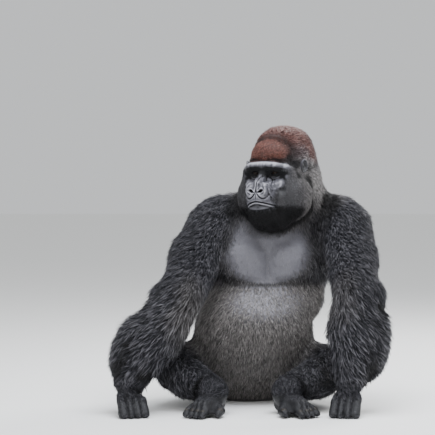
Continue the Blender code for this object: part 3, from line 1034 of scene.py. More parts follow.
def bare_face(h, n):
    """The bare skin of brow, eyes, nose and lips, seen from in front."""
    x, z = np.abs(h[:, 0]), h[:, 2]
    brow = egg(x, z, (0.0, 0.030), (0.104, 0.023), 0.32)
    eyes = egg(x, z, (0.0, -0.006), (0.090, 0.036), 0.18)
    nose_and_lip = egg(x, z, (0.0, -0.066), (0.060, 0.056), 0.18)
    lips = egg(x, z, (0.0, -0.111), (0.066, 0.021), 0.25)
    beside_nose = egg(x, z, (0.046, -0.036), (0.036, 0.026), 0.25)
    shape = np.maximum.reduce((brow, eyes, nose_and_lip, beside_nose, lips))
    forwards = np.maximum(step(-0.1, 0.25, -n[:, 1]), 1 - step(0.052, 0.064, x))
    return shape * (1 - step(0.045, 0.065, h[:, 1])) * forwards


on_head = SHARE["head"]
face = bare_face(h, n_head) * (on_head > 0.3)
world_x, world_z = places[:, 0], places[:, 2]
front = step(0.0, 0.45, -smooth_normals[:, 1]) * (SHARE["trunk"] + SHARE["neck"])
fold_height = breast_fold(world_x - CHEST[0])
chest = egg(world_x, world_z, (CHEST[0], CHEST[2] + 0.056), (0.178, 0.165), 0.36) * front
chest *= step(-0.018, 0.016, world_z - fold_height)
# bloom is the paler patch at the top of the belly: partly grey hair, partly a painted highlight
bloom = egg(world_x, world_z, (CHEST[0], PEC_FOLD - 0.060), (0.168, 0.074), 0.5) * front * (1 - chest)
belly = front * (1 - step(PEC_FOLD - 0.02, PEC_FOLD + 0.03, world_z))
behind = step(-0.2, 0.5, smooth_normals[:, 1])
crown = on_head * step(0.040, 0.075, h[:, 2])
cheek = on_head * (1 - step(0.02, 0.05, h[:, 2])) * (1 - face)
print("bare face, share of the points:", round(float(face.mean()), 3))

# %% [markdown]
# ## Depth and length of the coat
#
# The hair is longest on the forearms and shortest on the face, hands and feet.
# The depth is how far it stands off the skin, and the skin sinks by it, so that
# the tips reach the surface that was there before. Each part of the body has its
# own numbers, and then a list of regions carries them on, each over the last.

# %% Depth and length, in metres
DEPTHS = {"trunk": 0.020, "neck": 0.018, "head": 0.011, "upper_arm": 0.018, "forearm": 0.026}
DEPTHS.update(thigh=0.018, shin=0.016, hand=0.0015, foot=0.0015)
LENGTHS = {"trunk": 0.044, "neck": 0.034, "head": 0.020, "upper_arm": 0.040, "forearm": 0.062}
LENGTHS.update(thigh=0.042, shin=0.036, hand=0.012, foot=0.011)


def by_part(table):
    """Mixes one number for each kind of part by the shares."""
    return sum(table[name.replace("_right", "").replace("_left", "")] * SHARE[name] for name in PARTS)


def layered(value, layers):
    """Carries the value towards each layer's number by its mask, one after another."""
    for other, mask in layers:
        value = value + (other - value) * mask
    return value


forehead = crown * (1 - step(0.06, 0.09, h[:, 1]))
side_face = cheek * (1 - step(0.02, 0.10, h[:, 1]))
chin = cheek * (1 - step(-0.135, -0.110, h[:, 2])) * (1 - step(0.03, 0.08, h[:, 1]))
upper_tips = both("hand") * step(0.055, 0.090, world_z) + both("foot") * step(0.055, 0.090, world_z)
belly_hair = belly * (1 - chest) * 0.8
REGION_DEPTHS = (
    (0.0035, forehead),
    (0.0020, side_face),
    (0.006, chin),
    (0.0, np.maximum(face, 0.85 * chest)),
    (0.010, belly_hair),
    (0.004, bloom),
    (0.008, upper_tips),
    (0.001, 1 - step(0.0, 0.05, world_z)),
)
REGION_LENGTHS = (
    (0.010, forehead),
    (0.0085, side_face),
    (0.020, chin),
    (0.007, face),
    (0.013, chest),
    (0.026, belly_hair),
    (0.017, bloom),
    (0.026, upper_tips),
    (0.015, 1 - step(0.0, 0.03, world_z)),
)
depth = layered(by_part(DEPTHS), REGION_DEPTHS)
length = layered(by_part(LENGTHS), REGION_LENGTHS)
depth = np.minimum(soften(depth, edges, 24), soften(depth, edges, 8))
print("coat depth, mm:", round(float(depth.max() * 1000), 1))

# %% [markdown]
# ## The lie of the coat
#
# Hair points down the body and away from the middle, back over the crown, and
# outwards on the arms, where rain runs off it. Each part of the body has its own
# simple direction, and their mix, laid flat on the skin, turns smoothly from one
# part to the next, with no seam and nothing to comb by hand.

# %% Flow
DOWN = np.array((0.0, 0.0, -1.0))
OUT = {"right": np.array((-1.0, 0.0, 0.0)), "left": np.array((1.0, 0.0, 0.0))}


def head_flow(h):
    """Back over the crown, down the nape, down and back on the cheeks, down on the chin."""
    back = step(0.10, 0.26, h[:, 1])
    low = 1 - step(-0.02, 0.05, h[:, 2])
    jaw = (1 - step(-0.13, -0.08, h[:, 2])) * (1 - step(0.02, 0.09, h[:, 1]))
    side = np.sign(h[:, 0])
    over = np.stack((0.25 * side * np.minimum(np.abs(h[:, 0]) / 0.05, 1), 1 - back, -0.15 - back), 1)
    cheeks = np.stack((0.15 * side, 0.55 - 0.3 * back, np.full(len(h), -0.85)), 1)
    beard = np.stack((0.2 * h[:, 0] / 0.05, np.full(len(h), 0.1), np.full(len(h), -1.0)), 1)
    flow = over + (cheeks - over) * low[:, None]
    return (flow + (beard - flow) * jaw[:, None]) @ HEAD_AXES


def flow_of(name):
    """The direction of the hair on one part, one row for each point or one for all."""
    part, _, side = name.rpartition("_")
    if name == "head":
        return head_flow(h)
    if name == "neck":
        return DOWN + np.array((0.0, 0.25, 0.0)) + np.clip((places - CHEST) * (4, 0, 0), -0.6, 0.6)
    if name == "trunk":
        return DOWN + np.clip((places - CHEST) * (2.2, 0, 0), -0.55, 0.55)
    joints = {"upper_arm": ("shoulder", "elbow"), "forearm": ("elbow", "wrist")}
    joints.update(thigh=("hip", "knee"), shin=("knee", "ankle"))
    if part in joints:
        start, end = joints[part]
        along = unit(JOINTS[end, side] - JOINTS[start, side])
        if part == "upper_arm":
            return 0.6 * along + 0.5 * OUT[side] + 0.4 * DOWN
        if part == "forearm":
            return 0.35 * along + 0.65 * OUT[side] + 0.40 * DOWN + np.array((0, 0.2, 0))
        return 0.7 * along + 0.45 * DOWN + 0.25 * OUT[side]
    wrist = JOINTS["wrist" if part == "hand" else "ankle", side]
    return unit(np.array(middle(name)) - wrist) * (1, 1, 0.4)


flow = sum(SHARE[name][:, None] * unit(np.broadcast_to(flow_of(name), places.shape)) for name in PARTS)
flow = soften(flow, edges, 6)
flow -= (flow * smooth_normals).sum(axis=1, keepdims=True) * smooth_normals
flow = unit(flow)
print("points whose hair runs downwards:", int((flow[:, 2] < 0).sum()), "of", len(flow))

# %% [markdown]
# ## Room for the coat
#
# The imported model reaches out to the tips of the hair, so the skin has to lie
# deeper by the depth of the coat. It moves in along its smoothed normals, and the
# furred part is smoothed again, because hollows would otherwise pinch.

# %% Sink the skin under the coat
sunk = places - smooth_normals * depth[:, None]
furred = step(0.002, 0.010, depth)
move_points(skin_mesh, soften(sunk, edges, 6, 0.5 * furred))
skin_places = points_of(skin_mesh)
print("skin box, metres:", np.round(np.ptp(skin_places, axis=0), 3))

# %% [markdown]
# ## Curved ground
#
# A lock that lies over a round shoulder has to bend with it, or it would stick
# out like a straw. So each point gets the curvature of the skin along the flow:
# how much the normal turns for each metre along the hair.

# %% How the skin curves along the flow
along_edge = skin_places[edges[:, 1]] - skin_places[edges[:, 0]]
turn = smooth_normals[edges[:, 1]] - smooth_normals[edges[:, 0]]


def curvature():
    """The mean over a point's edges of (change of normal . flow) / (step . flow), weighted by the step."""
    total, weight = np.zeros(len(places)), np.full(len(places), 1e-9)
    for end in (0, 1):
        ways = flow[edges[:, end]]
        stride = (along_edge * ways).sum(axis=1)
        total += np.bincount(edges[:, end], (turn * ways).sum(axis=1) * stride, len(places))
        weight += np.bincount(edges[:, end], stride**2, len(places))
    return np.clip(soften(total / weight, edges, 8), -4.0, 14.0)


curve = curvature()
print("curvature, 1/m, from", curve.min().round(1), "to", curve.max().round(1))

# %% [markdown]
# ## Closed surfaces from grids
#
# The eyes, ears and nails are grids of points that run from one pole to another.
# One function turns such a grid into a closed mesh that faces outwards.

# %% Grid to mesh


def closed_surface(name, grid, values=None):
    """A mesh from (rows, columns, 3): columns wrap round, and each end row closes on its mean.

    The signed volume, the sum of a . (b x c) / 6, says whether the faces point
    outwards, and they are turned over if it is negative.
    """
    rows, columns = grid.shape[:2]
    points = np.concatenate((grid.reshape(-1, 3), grid[:1].mean(axis=1), grid[-1:].mean(axis=1)))
    here = np.arange(rows * columns).reshape(rows, columns)
    right = np.roll(here, -1, axis=1)
    quads = np.stack((here[:-1], right[:-1], right[1:], here[1:]), axis=2).reshape(-1, 4)
    first = np.stack((np.full(columns, rows * columns), right[0], here[0]), axis=1)
    last = np.stack((np.full(columns, rows * columns + 1), here[-1], right[-1]), axis=1)
    a, b, c = points[quads[:, 0]], points[quads[:, 1]], points[quads[:, 2]]
    if (a * np.cross(b, c)).sum() + (a * np.cross(c, points[quads[:, 3]])).sum() < 0:
        quads, first, last = quads[:, ::-1], first[:, ::-1], last[:, ::-1]
    mesh = bpy.data.meshes.new(name)
    mesh.from_pydata(points.tolist(), [], quads.tolist() + first.tolist() + last.tolist())
    mesh.polygons.foreach_set("use_smooth", np.ones(len(mesh.polygons), bool))
    if values is not None:
        ends = np.concatenate((values.ravel(), values[0].mean(keepdims=True), values[-1].mean(keepdims=True)))
        mesh.attributes.new("ring", "FLOAT", "POINT").data.foreach_set("value", ends.astype(np.float32))
    mesh.update()
    return new_object(name, mesh)


# %% [markdown]
# ## Eyes
#
# A gorilla's eye is almost all dark: a brown iris in a brown-black ball, with a
# wet cornea that stands out a little and catches the light. The mesh is a sphere
# about the line of sight, and each point knows its angle from that line.

# %% Eyeballs
CORNEA_RISE = 0.0007
LOOK_TO_CAMERA = 0.45


def eyeball(side):
    """A sphere with r = R + rise * exp(-(angle / 30 degrees)^2), its pole on the line of sight."""
    centre = EYES[side]
    ahead = unit(-head_y + LOOK_TO_CAMERA * (unit(np.array(camera.location) - centre) + head_y))
    across = unit(np.cross(ahead, head_z))
    above = np.cross(across, ahead)
    angle = np.linspace(0.02, math.pi - 0.05, 40)[:, None]
    around = np.linspace(0, 2 * math.pi, 48, endpoint=False)[None]
    radius = EYE_RADIUS - CORNEA_RISE + CORNEA_RISE * hill(angle, 0, math.radians(30))
    forwards = radius * np.cos(angle) * np.ones_like(around)
    out = radius * np.sin(angle)
    grid = centre + forwards[..., None] * ahead
    grid = grid + (out * np.cos(around))[..., None] * across + (out * np.sin(around))[..., None] * above
    degrees = np.degrees(angle) * np.ones_like(around)
    return closed_surface("eyeball_" + side, grid, degrees)


eyeballs = {side: eyeball(side) for side, _ in SIDES}
print("eyeballs:", [piece.name for piece in eyeballs.values()])

# %% [markdown]
# ## Ears
#
# The ears are small, bare and set close to the head: a dish with a rolled rim, a
# second ridge inside the rim, and a lobe. One grid goes from the middle of the
# dish out over the rim, and back along the rear to the root.

# %% Ears
EAR_WIDE, EAR_TALL = 0.0165, 0.0245
EAR_LEAN = math.radians(7)
EAR_RIM_BACK = 0.0035


def ear(side, sign):
    """A dish over an ellipse: the front is a sum of ridges and hollows in s, the rear a low dome."""
    centre = middle("ear_" + side) + 0.001 * HEAD_AXES[0] * sign
    outward = (math.cos(EAR_LEAN) * HEAD_AXES[0] * sign) - math.sin(EAR_LEAN) * HEAD_AXES[1]
    backward = math.cos(EAR_LEAN) * HEAD_AXES[1] + math.sin(EAR_LEAN) * HEAD_AXES[0] * sign
    upward = HEAD_AXES[2]
    t = np.linspace(0, 2 * math.pi, 72, endpoint=False)[None]
    s = np.linspace(0.03, 1.97, 46)[:, None]
    r = np.where(s < 1, s, 2 - s)
    y, z = np.cos(t), np.sin(t)
    outline = 1 + 0.05 * np.cos(3 * t + 0.6) + 0.04 * np.sin(2 * t)
    lobe = hill(t, 1.5 * math.pi, 0.5)
    rear = np.clip(0.35 + 0.65 * (y + 1) / 2 + 0.3 * hill(z, 1, 0.5), 0, 1)
    helix = 0.0038 * hill(s, 0.90, 0.13) * rear
    scapha = -0.0022 * hill(s, 0.74, 0.10) * rear
    antihelix = 0.0030 * hill(s, 0.54 + 0.05 * np.sin(2 * t), 0.11) * (0.4 + 0.6 * rear)
    concha = -0.0075 * (1 - step(0.10, 0.62, s)) * (1 - 0.5 * lobe)
    tragus = 0.0045 * hill(s, 0.62, 0.22) * hill(t, math.pi, 0.5)
    up = helix + scapha + antihelix + concha + tragus + 0.0008
    down = -0.0030 - 0.0065 * np.sqrt(np.clip(1 - r**2, 0, 1))
    x = np.where(s < 1, up, down + EAR_RIM_BACK * step(0.80, 1.0, r))
    x = x + 0.0015 * np.cos(t) * r + 0.0010 * np.sin(t) * r
    grow = r * outline * (1 + 0.02 * hill(s, 1.0, 0.08))
    grid = centre + x[..., None] * outward
    grid = grid + (grow * y * EAR_WIDE)[..., None] * backward + (grow * z * EAR_TALL)[..., None] * upward
    # The number for each ring is lower towards the front, so the painted highlight on the rim lies towards
    # the rear
    return closed_surface("ear_skin_" + side, grid, s * (0.72 + 0.28 * rear))


ears = {side: ear(side, sign) for side, sign in SIDES}
print("ears, mm:", round(EAR_WIDE * 2000), "wide", round(EAR_TALL * 2000), "tall")

# %% [markdown]
# ## Nails
#
# Gorillas have flat black nails, as people do. Each nail is a thin closed plate
# with rounded corners that bends round its toe. It is laid on the nearest place
# of the skin, so it stays seated when the foot's shape is changed.

# %% Nails
NAIL_THICK = 0.0011
NAIL_PROUD = 0.0014
BEND_ACROSS, BEND_TO_ROOT, BEND_TO_TIP = 0.011, 0.024, 0.017
TOE_NAIL, BIG_TOE_NAIL, THUMB_NAIL = (0.0078, 0.0080), (0.0112, 0.0105), (0.0062, 0.0070)
NAIL_SEAT_POINTS = 12
TOE_TIPS = -0.167
BIG_TOE, THUMB = (0.0655, -0.120, 0.046), (0.062, -0.070, 0.041)


def nail(name, target, forwards, wide, long):
    """A rounded plate: (wide * cos t, long * sin t) * r, bent down by x^2 / 2R across and along."""
    gaps = np.linalg.norm(skin_places - target, axis=1)
    nearest_points = np.argsort(gaps)[:NAIL_SEAT_POINTS]
    centre = skin_places[nearest_points[0]]
    normal = unit(smooth_normals[nearest_points].mean(axis=0))
    ahead = unit(forwards - normal * (forwards @ normal))
    across = np.cross(ahead, normal)
    t = np.linspace(0, 2 * math.pi, 32, endpoint=False)[None]
    s = np.linspace(0.04, 1.96, 13)[:, None]
    r = np.where(s < 1, s, 2 - s)
    square = (np.abs(np.cos(t)) ** 3 + np.abs(np.sin(t)) ** 3) ** (-1 / 3)
    x, y = wide * r * square * np.cos(t), long * r * square * np.sin(t)
    lift = np.where(s < 1, 0.5, -0.5) * NAIL_THICK * np.sqrt(np.clip(1 - r**4, 0, 1))
    bend_along = np.where(y < 0, y**2 / (2 * BEND_TO_ROOT), y**2 / (2 * BEND_TO_TIP))
    height = lift + NAIL_PROUD - x**2 / (2 * BEND_ACROSS) - bend_along
    grid = centre + x[..., None] * across + y[..., None] * ahead + height[..., None] * normal
    return closed_surface(name, grid)


def toe_tips(side, sign):
    """Places above the tip of each toe, and the way the toes point."""
    heel, turn = limb_frame("foot", side)
    toes = []
    for toe in range(4):
        tip = TOE_TIPS + 0.010 * abs(toe - 0.6)
        toes.append((sign * (FIRST_TOE + toe * TOE_PITCH), tip, 0.040))
    toes.append((-sign * BIG_TOE[0], *BIG_TOE[1:]))
    return heel + np.array(toes) @ turn.T, turn @ np.array((0.0, -1.0, -0.25))


nails = []
for side, sign in SIDES:
    targets, ahead = toe_tips(side, sign)
    for toe, target in enumerate(targets):
        size = BIG_TOE_NAIL if toe == 4 else TOE_NAIL
        nails.append(nail(f"toenail_{side}_{toe + 1}", target, ahead, *size))
    palm, turn = limb_frame("hand", side)
    target = palm + turn @ np.array((-sign * THUMB[0], *THUMB[1:]))
    nails.append(nail("thumbnail_" + side, target, turn @ np.array((0, -0.8, -0.5)), *THUMB_NAIL))
print("nails:", len(nails))

# %% [markdown]
# ## Markings
#
# Skin and hair carry the same markings, as soft masks on their points: chestnut
# on the crown, silver on the nape and in a saddle over the back, brown on the
# belly and inside the elbows, and bare grey skin on the face and chest.

# %% Masks of colour
face_x, face_y, face_z = np.abs(h[:, 0]), h[:, 1], h[:, 2]
along_back = step(0.10, 0.20, world_z) * (1 - step(0.60, 0.74, world_z))
saddle = behind * along_back * (SHARE["trunk"] + 0.6 * both("thigh"))
nape = (on_head + SHARE["neck"]) * step(0.05, 0.16, face_y)
nape = nape * (1 - step(-0.03, 0.09, face_z)) * step(-0.24, -0.16, face_z)
dome = dome_reach(h)
temple = step(0.070, 0.095, face_x) * (1 - step(0.09, 0.125, face_z)) * (1 - step(0.12, 0.17, face_y))
chestnut = on_head * step(0.035, 0.060, face_z) * (1 - step(0.16, 0.30, face_y) * 0.8)
chestnut *= (1 - 0.30 * step(0.90, 1.15, dome)) * (1 - 0.65 * temple)

brown_cheek = 0.35 * cheek * step(0.02, 0.09, face_y) * (1 - step(0.14, 0.2, face_y))
brown = np.clip(0.75 * belly * (1 - chest) + brown_cheek, 0, 1)
BELOW_ELBOW = (0, 0, -0.02)
for side, _ in SIDES:
    from_elbow = (places - JOINTS["elbow", side]) * (1, 1, 0.8) - BELOW_ELBOW
    inner = np.linalg.norm(from_elbow, axis=1)
    inward = step(-0.1, 0.5, -smooth_normals @ OUT[side])
    brown = np.maximum(brown, 0.35 * (1 - step(0.07, 0.15, inner)) * inward)

silver = np.clip(0.85 * saddle + 0.95 * nape, 0, 1)
# The breast and belly are greyer, and the paler patch at the top of the belly is partly a painted highlight
silver = np.clip(silver + 0.50 * bloom + 0.40 * chest + 0.30 * belly, 0, 1)
grey_head = (0.25 + 0.40 * step(-0.01, 0.06, face_y)) * on_head * (1 - chin)
grey = 0.50 * (SHARE["neck"] + grey_head) * step(-0.20, -0.14, face_z) * (1 - face) * (1 - crown)
silver = np.maximum(silver, grey)
# The front of the neck is paler: partly grey hair, partly painted light that lifts the shadow under the chin
silver = np.maximum(silver, 0.8 * SHARE["neck"] * step(0.0, 0.4, -smooth_normals[:, 1]))

bare_skin = np.maximum(np.maximum(face, chest), 0.6 * bloom)
markings = np.stack((chestnut, silver, brown, bare_skin), axis=1)
markings = soften(np.clip(markings, 0, 1), edges, 4)
print("mean of each marking:", markings.mean(axis=0).round(3))

# %% [markdown]
# ## Painted shade in hollows, painted highlight on ridges
#
# Folds get a painted shade, and ridges a painted highlight. So the skin
# also carries one number from -1 to 1, above 0 in hollows and below 0 on ridges.
# It is measured from the mesh, as how far a point lies inside the mean of its
# neighbours, and toned down where hair hides the skin.

# %% Painted shade in hollows, painted highlight on ridges
FOLD_DEPTH = 0.0012


def cavity():
    """How far each point lies inside the mean of its neighbours, smoothed: folds are above 0."""
    total = 0
    for rounds in (2, 5):
        mean = soften(skin_places, edges, rounds, 1.0)
        total = total + ((mean - skin_places) * smooth_normals).sum(axis=1)
    return np.clip(soften(total, edges, 1) / FOLD_DEPTH, -1, 1)


def on_face(centre, size, soft):
    """An ellipse on both halves of the bare face, in head coordinates."""
    return egg(face_x, face_z, centre, size, soft) * face


# Painted shade in folds (above 0) and painted highlight on ridges (below 0), weaker where hair hides the skin
fold_shade_and_ridge_light = cavity() * (1 - 0.75 * np.maximum(chest, belly)) * (1 - 0.6 * crown)
fold_shade_and_ridge_light *= 1 - 0.5 * (both("hand") + both("foot"))
fold_shade_and_ridge_light *= 1 - 0.7 * behind * (on_head + SHARE["neck"])
fold_shade_and_ridge_light *= 1 - 0.75 * (SHARE["trunk"] + both("thigh")) - 0.35 * both("upper_arm")
# Less painted ridge highlight round the eyes and on the head outside the bare face
eye_zone = on_face((EYE_APART, -0.002), (0.032, 0.026), 0.4)
ridge_highlight_kept = (1 - 0.9 * eye_zone) * (1 - on_head * (1 - step(0.5, 1.0, face)))
fold_shade_and_ridge_light = np.where(fold_shade_and_ridge_light < 0, fold_shade_and_ridge_light * ridge_highlight_kept, fold_shade_and_ridge_light)
print("dents from", fold_shade_and_ridge_light.min().round(2), "to", fold_shade_and_ridge_light.max().round(2))

# %% [markdown]
# ## Painted shade and highlights, and darker places
#
# Some places are painted darker or paler than their shape alone makes them.
# Painted shade falls in the eye sockets, the fold under the breast, the line
# between the lips and the crease round the dome, and painted highlights lie on
# the top of the brow, under the eyes, on the wings of the nose and along the
# lower lip. The chin is darker, partly its own black hair and partly painted
# shade, and the lower lip, the cheeks and the forearms are darker. Each is a
# mask with a share, added to the painted shade and highlights of the folds.

# %% Lips, nose and brow
lip_gap = face_z - mouth_line(h[:, 0])
lip_zone = hill(lip_gap, 0, 0.014) * (1 - step(0.95, 1.2, face_x / MOUTH_HALF)) * face
# A painted dark line of shade between the lips
fold_shade_and_ridge_light = fold_shade_and_ridge_light * (1 - 0.8 * lip_zone) + 0.8 * hill(lip_gap, 0.0003, 0.0024) * lip_zone
nose_light = on_face((0.019, -0.068), (0.030, 0.028), 0.6)
fold_shade_and_ridge_light -= 0.25 * nose_light * (1 - step(0.05, 0.30, fold_shade_and_ridge_light))
fold_shade_and_ridge_light *= 1 - 0.5 * egg(h[:, 0], face_z, (0.0, 0.022), (0.026, 0.016), 0.4) * face

# Painted shade in the eye sockets and over the root of the nose, and in the fold under the breast
socket_shade = on_face((EYE_APART, 0.0130), (0.043, 0.0205), 0.65)
socket_shade = np.maximum(socket_shade, 0.7 * on_face((0.0, 0.010), (0.024, 0.010), 0.5))
under_breast_shade = hill(world_z, fold_height, 0.0065) * front
under_breast_shade *= 1 - step(0.13, 0.17, np.abs(world_x - CHEST[0]))
# Shares of painted light and darker tone: above 0 darker, below 0 paler
PAINTED_LIGHT_AND_DARK_TONE = (
    (1.0, socket_shade),
    # painted highlight on the cheekbones under the eyes
    (-0.25, on_face((0.050, -0.026), (0.034, 0.014), 0.5)),  # under the eyes
    # painted highlight on the top of the brow
    (-0.40, on_face((0.0, 0.042), (0.072, 0.010), 0.8)),  # the top of the brow
    # painted shade in the fold under the breast
    (0.26, under_breast_shade),
    # the chin: partly its own black hair, partly painted shade
    (0.9, chin),
    (0.30, on_face((0.0, -0.127), (0.058, 0.014), 0.5)),  # the lower lip
    (0.45, both("forearm")),
    (0.20, cheek * (1 - step(-0.01, 0.05, face_y))),
)
hollow = sum((share * mask for share, mask in PAINTED_LIGHT_AND_DARK_TONE), start=fold_shade_and_ridge_light)
# A painted highlight along the edge of the lower lip, under the dark line
hollow -= 0.7 * hill(lip_gap, -0.0050, 0.0020) * lip_zone
# Painted shade in the crease round the foot of the dome
dome_crease_shade = hill(dome, 1.10, 0.14) * dome_front(h) * on_head
hollow = np.clip(hollow + 0.55 * dome_crease_shade, -1, 1)
print("hollow from", hollow.min().round(2), "to", hollow.max().round(2))

# %% [markdown]
# ## The finished skin
#
# The masks go onto the mesh as point attributes, which the finishes read by name,
# and the skin becomes the first piece of the visible model.

# %% Store the masks on the skin


def set_values(mesh, name, values):
    """Stores one number, or a colour of four, for each point."""
    kind = "FLOAT" if values.ndim == 1 else "FLOAT_COLOR"
    key = "value" if values.ndim == 1 else "color"
    data = np.ascontiguousarray(values, np.float32).ravel()
    mesh.attributes.new(name, kind, "POINT").data.foreach_set(key, data)


set_values(skin_mesh, "markings", markings)
# The painted shade and highlights, with the darker tones of some places, as one number for each point
set_values(skin_mesh, "hollow", hollow)
skin_mesh.polygons.foreach_set("use_smooth", np.ones(len(skin_mesh.polygons), bool))
skin = new_object("skin", skin_mesh)
print("skin triangles:", sum(len(polygon.vertices) - 2 for polygon in skin_mesh.polygons))

# %% [markdown]
# ## An unwrap for baking
#
# A bake turns each finish into a flat map of the surface. The skin is
# unwrapped by the directions it faces, and each lock gets a tiny patch of that
# same map at its root, so that the coat keeps the skin's markings.

# %% Unwrap the skin
BAKE_MAP = "OFBake"
ISLAND_ANGLE, ISLAND_MARGIN = math.radians(72), 0.001

skin_mesh.uv_layers.new(name=BAKE_MAP)
bpy.context.view_layer.objects.active = skin
skin.select_set(True)
bpy.ops.object.mode_set(mode="EDIT")
bpy.ops.mesh.select_all(action="SELECT")
bpy.ops.uv.smart_project(angle_limit=ISLAND_ANGLE, island_margin=ISLAND_MARGIN)
bpy.ops.object.mode_set(mode="OBJECT")
skin.select_set(False)
skin_map = np.empty(len(skin_mesh.loops) * 2)
skin_mesh.uv_layers[BAKE_MAP].data.foreach_get("uv", skin_map)
skin_map = skin_map.reshape(-1, 2)
print("unwrap, from", skin_map.min(axis=0).round(2), "to", skin_map.max(axis=0).round(2))

# %% [markdown]
# ## Locks of hair
#
# The coat is solid: each lock is a thin three-sided blade, wider in the middle,
# that rises from the skin and then lies over its neighbours. Its middle line is
#
#     p(s) = root + flow * T * s - normal * curve * (T * s)^2 / 2
#          + normal * H * (1 - (1 - s)^2) + sideways * bend * s^2
#
# with s from 0 at the root to 1 at the tip, T how far it reaches over the skin,
# and H how high its tip stands. Locks that stand near each other share part of
# their bend, so that the coat parts into clumps as real hair does.

# %% Where the roots are
rng = np.random.default_rng(7)
skin_mesh.calc_loop_triangles()


def corners_of_triangles(kind):
    """For each triangle of the skin, its three corners as vertices or as loops."""
    found = np.empty(len(skin_mesh.loop_triangles) * 3, np.int64)
    skin_mesh.loop_triangles.foreach_get(kind, found)
    return found.reshape(-1, 3)


triangle_corners = corners_of_triangles("vertices")
triangle_loops = corners_of_triangles("loops")
a, b, c = (skin_places[triangle_corners[:, i]] for i in range(3))
triangle_area = np.linalg.norm(np.cross(b - a, c - a), axis=1) / 2

DENSITY = {"trunk": 32e3, "neck": 55e3, "head": 85e3, "upper_arm": 42e3, "forearm": 42e3}
DENSITY.update(thigh=28e3, shin=30e3, hand=30e3, foot=26e3)
REGION_DENSITIES = (
    (150e3, side_face),
    (0.0, face),
    (9e3, chest),
    (42e3, belly * (1 - chest)),
    (26e3, bloom),
)
density = layered(by_part(DENSITY), REGION_DENSITIES)
density *= step(0.002, 0.012, world_z + 0.003)
palms = np.maximum(0, both("hand") + both("foot")) * step(-0.1, 0.3, -smooth_normals[:, 2])
density *= 1 - palms
expected = triangle_area * density[triangle_corners].mean(axis=1)
print("locks that these densities call for:", round(float(expected.sum()), -3))

# %% [markdown]
# ## Scattering the roots
#
# Hair grows evenly for its area. So the roots are spread over the triangles in
# even steps of area times density, which leaves no bald spots, and placed at
# random inside each triangle: with r = sqrt(random) and t = random, the corners
# get the weights 1 - r, r (1 - t) and r t.

# %% Scatter


def scatter(chosen, number):
    """Random places on the chosen triangles, in even steps of area times density."""
    where = np.flatnonzero(chosen & (expected > 0))
    total = np.cumsum(expected[where])
    marks = (np.arange(number) + rng.random(number)) * total[-1] / number
    found = where[np.minimum(np.searchsorted(total, marks), len(where) - 1)]
    r, t = np.sqrt(rng.random(number)), rng.random(number)
    return found, np.stack((1 - r, r * (1 - t), r * t), axis=1)


def at_roots(values, found, weights):
    """A value of the skin's points, mixed at each root."""
    picked = values[triangle_corners[found]]
    return np.einsum("nk,nk...->n...", weights, picked)


# %% [markdown]
# ## Clumps
#
# Hair isn't combed one by one: it parts into clumps whose tips lean together.
# Each root gets the number of a ragged cell of space, and the locks of one cell
# later share part of their bend and point towards the cell's middle.

# %% Clumps
CLUMP_SIZE = 0.016
RAGGED, WAVY, WAVES = 0.7, 0.3, 97.0
CELL_PRIMES = np.array((73856093, 19349663, 83492791))


def clump_numbers(roots, size):
    """A number for the clump that each root belongs to: cells of a grid with ragged borders."""
    ragged = roots + (rng.random(roots.shape) - 0.5) * size * RAGGED
    ragged = ragged + WAVY * size * np.sin(ragged[:, (1, 2, 0)] * WAVES)
    cells = np.floor(ragged / size).astype(np.int64)
    return np.unique(cells @ CELL_PRIMES, return_inverse=True)[1].ravel()


def mean_in_clump(values, clump):
    """The mean of the values of each clump's locks, one row for each clump."""
    number = np.bincount(clump)
    return np.stack([np.bincount(clump, column) for column in values.T], axis=1) / number[:, None]


print("clumps, mm across:", CLUMP_SIZE * 1000)

# %% [markdown]
# ## The shape of one lock
#
# A lock of short hair is a spike with one ring of three points between root and
# tip, six triangles in all. A long lock of the forearms has two rings, so that it
# can hang in a curve. Few triangles for each lock leave room for many locks, and
# smooth shading rounds them off.

# %% Rings of a lock
LONG_STEPS, LONG_WIDTHS = (0.26, 0.64), (1.0, 0.80)
SHORT_STEPS, SHORT_WIDTHS = (0.42,), (1.0,)
KEEL, SHOULDER = 0.55, 0.25


def lock_faces(rings):
    """The triangles of one lock: three from the root, six for each pair of rings, three to the tip."""
    faces = []
    for ring in range(rings - 1):
        low, high = 3 * ring, 3 * ring + 3
        for i in range(3):
            j = (i + 1) % 3
            faces += [(low + i, high + j, low + j), (low + i, high + i, high + j)]
    last, root, tip = 3 * (rings - 1), 3 * rings, 3 * rings + 1
    for i in range(3):
        j = (i + 1) % 3
        faces += [(root, i, j), (last + i, tip, last + j)]
    return np.array(faces)


def lock_points(root, normal, way, reach, height, width, bend, droop, k, steps, widths):
    """The rings, roots and tips of many locks at once, as (locks, points, 3)."""
    s = np.array((0.0, *steps, 1.0))[None, :, None]
    run = reach[:, None, None] * s
    line = root[:, None] + way[:, None] * run - normal[:, None] * k[:, None, None] * run**2 / 2
    line = line + normal[:, None] * height[:, None, None] * (1 - (1 - s) ** 2)
    line = line + bend[:, None] * s**2 + droop[:, None] * s**2
    tangent = unit(np.gradient(line, axis=1))
    side = unit(np.cross(tangent, normal[:, None]))
    up = np.cross(side, tangent)
    wide = width[:, None, None] * np.array(widths)[None, :, None]
    middle_line, side, up = line[:, 1:-1], side[:, 1:-1], up[:, 1:-1]
    lowered = up * wide * SHOULDER
    left, right = middle_line - side * wide, middle_line + side * wide
    ring = (left - lowered, right - lowered, middle_line + up * wide * KEEL)
    rings = np.stack(ring, axis=2).reshape(len(root), -1, 3)
    return np.concatenate((rings, line[:, :1], line[:, -1:]), axis=1)


print("triangles in a short and a long lock:", len(lock_faces(1)), len(lock_faces(2)))

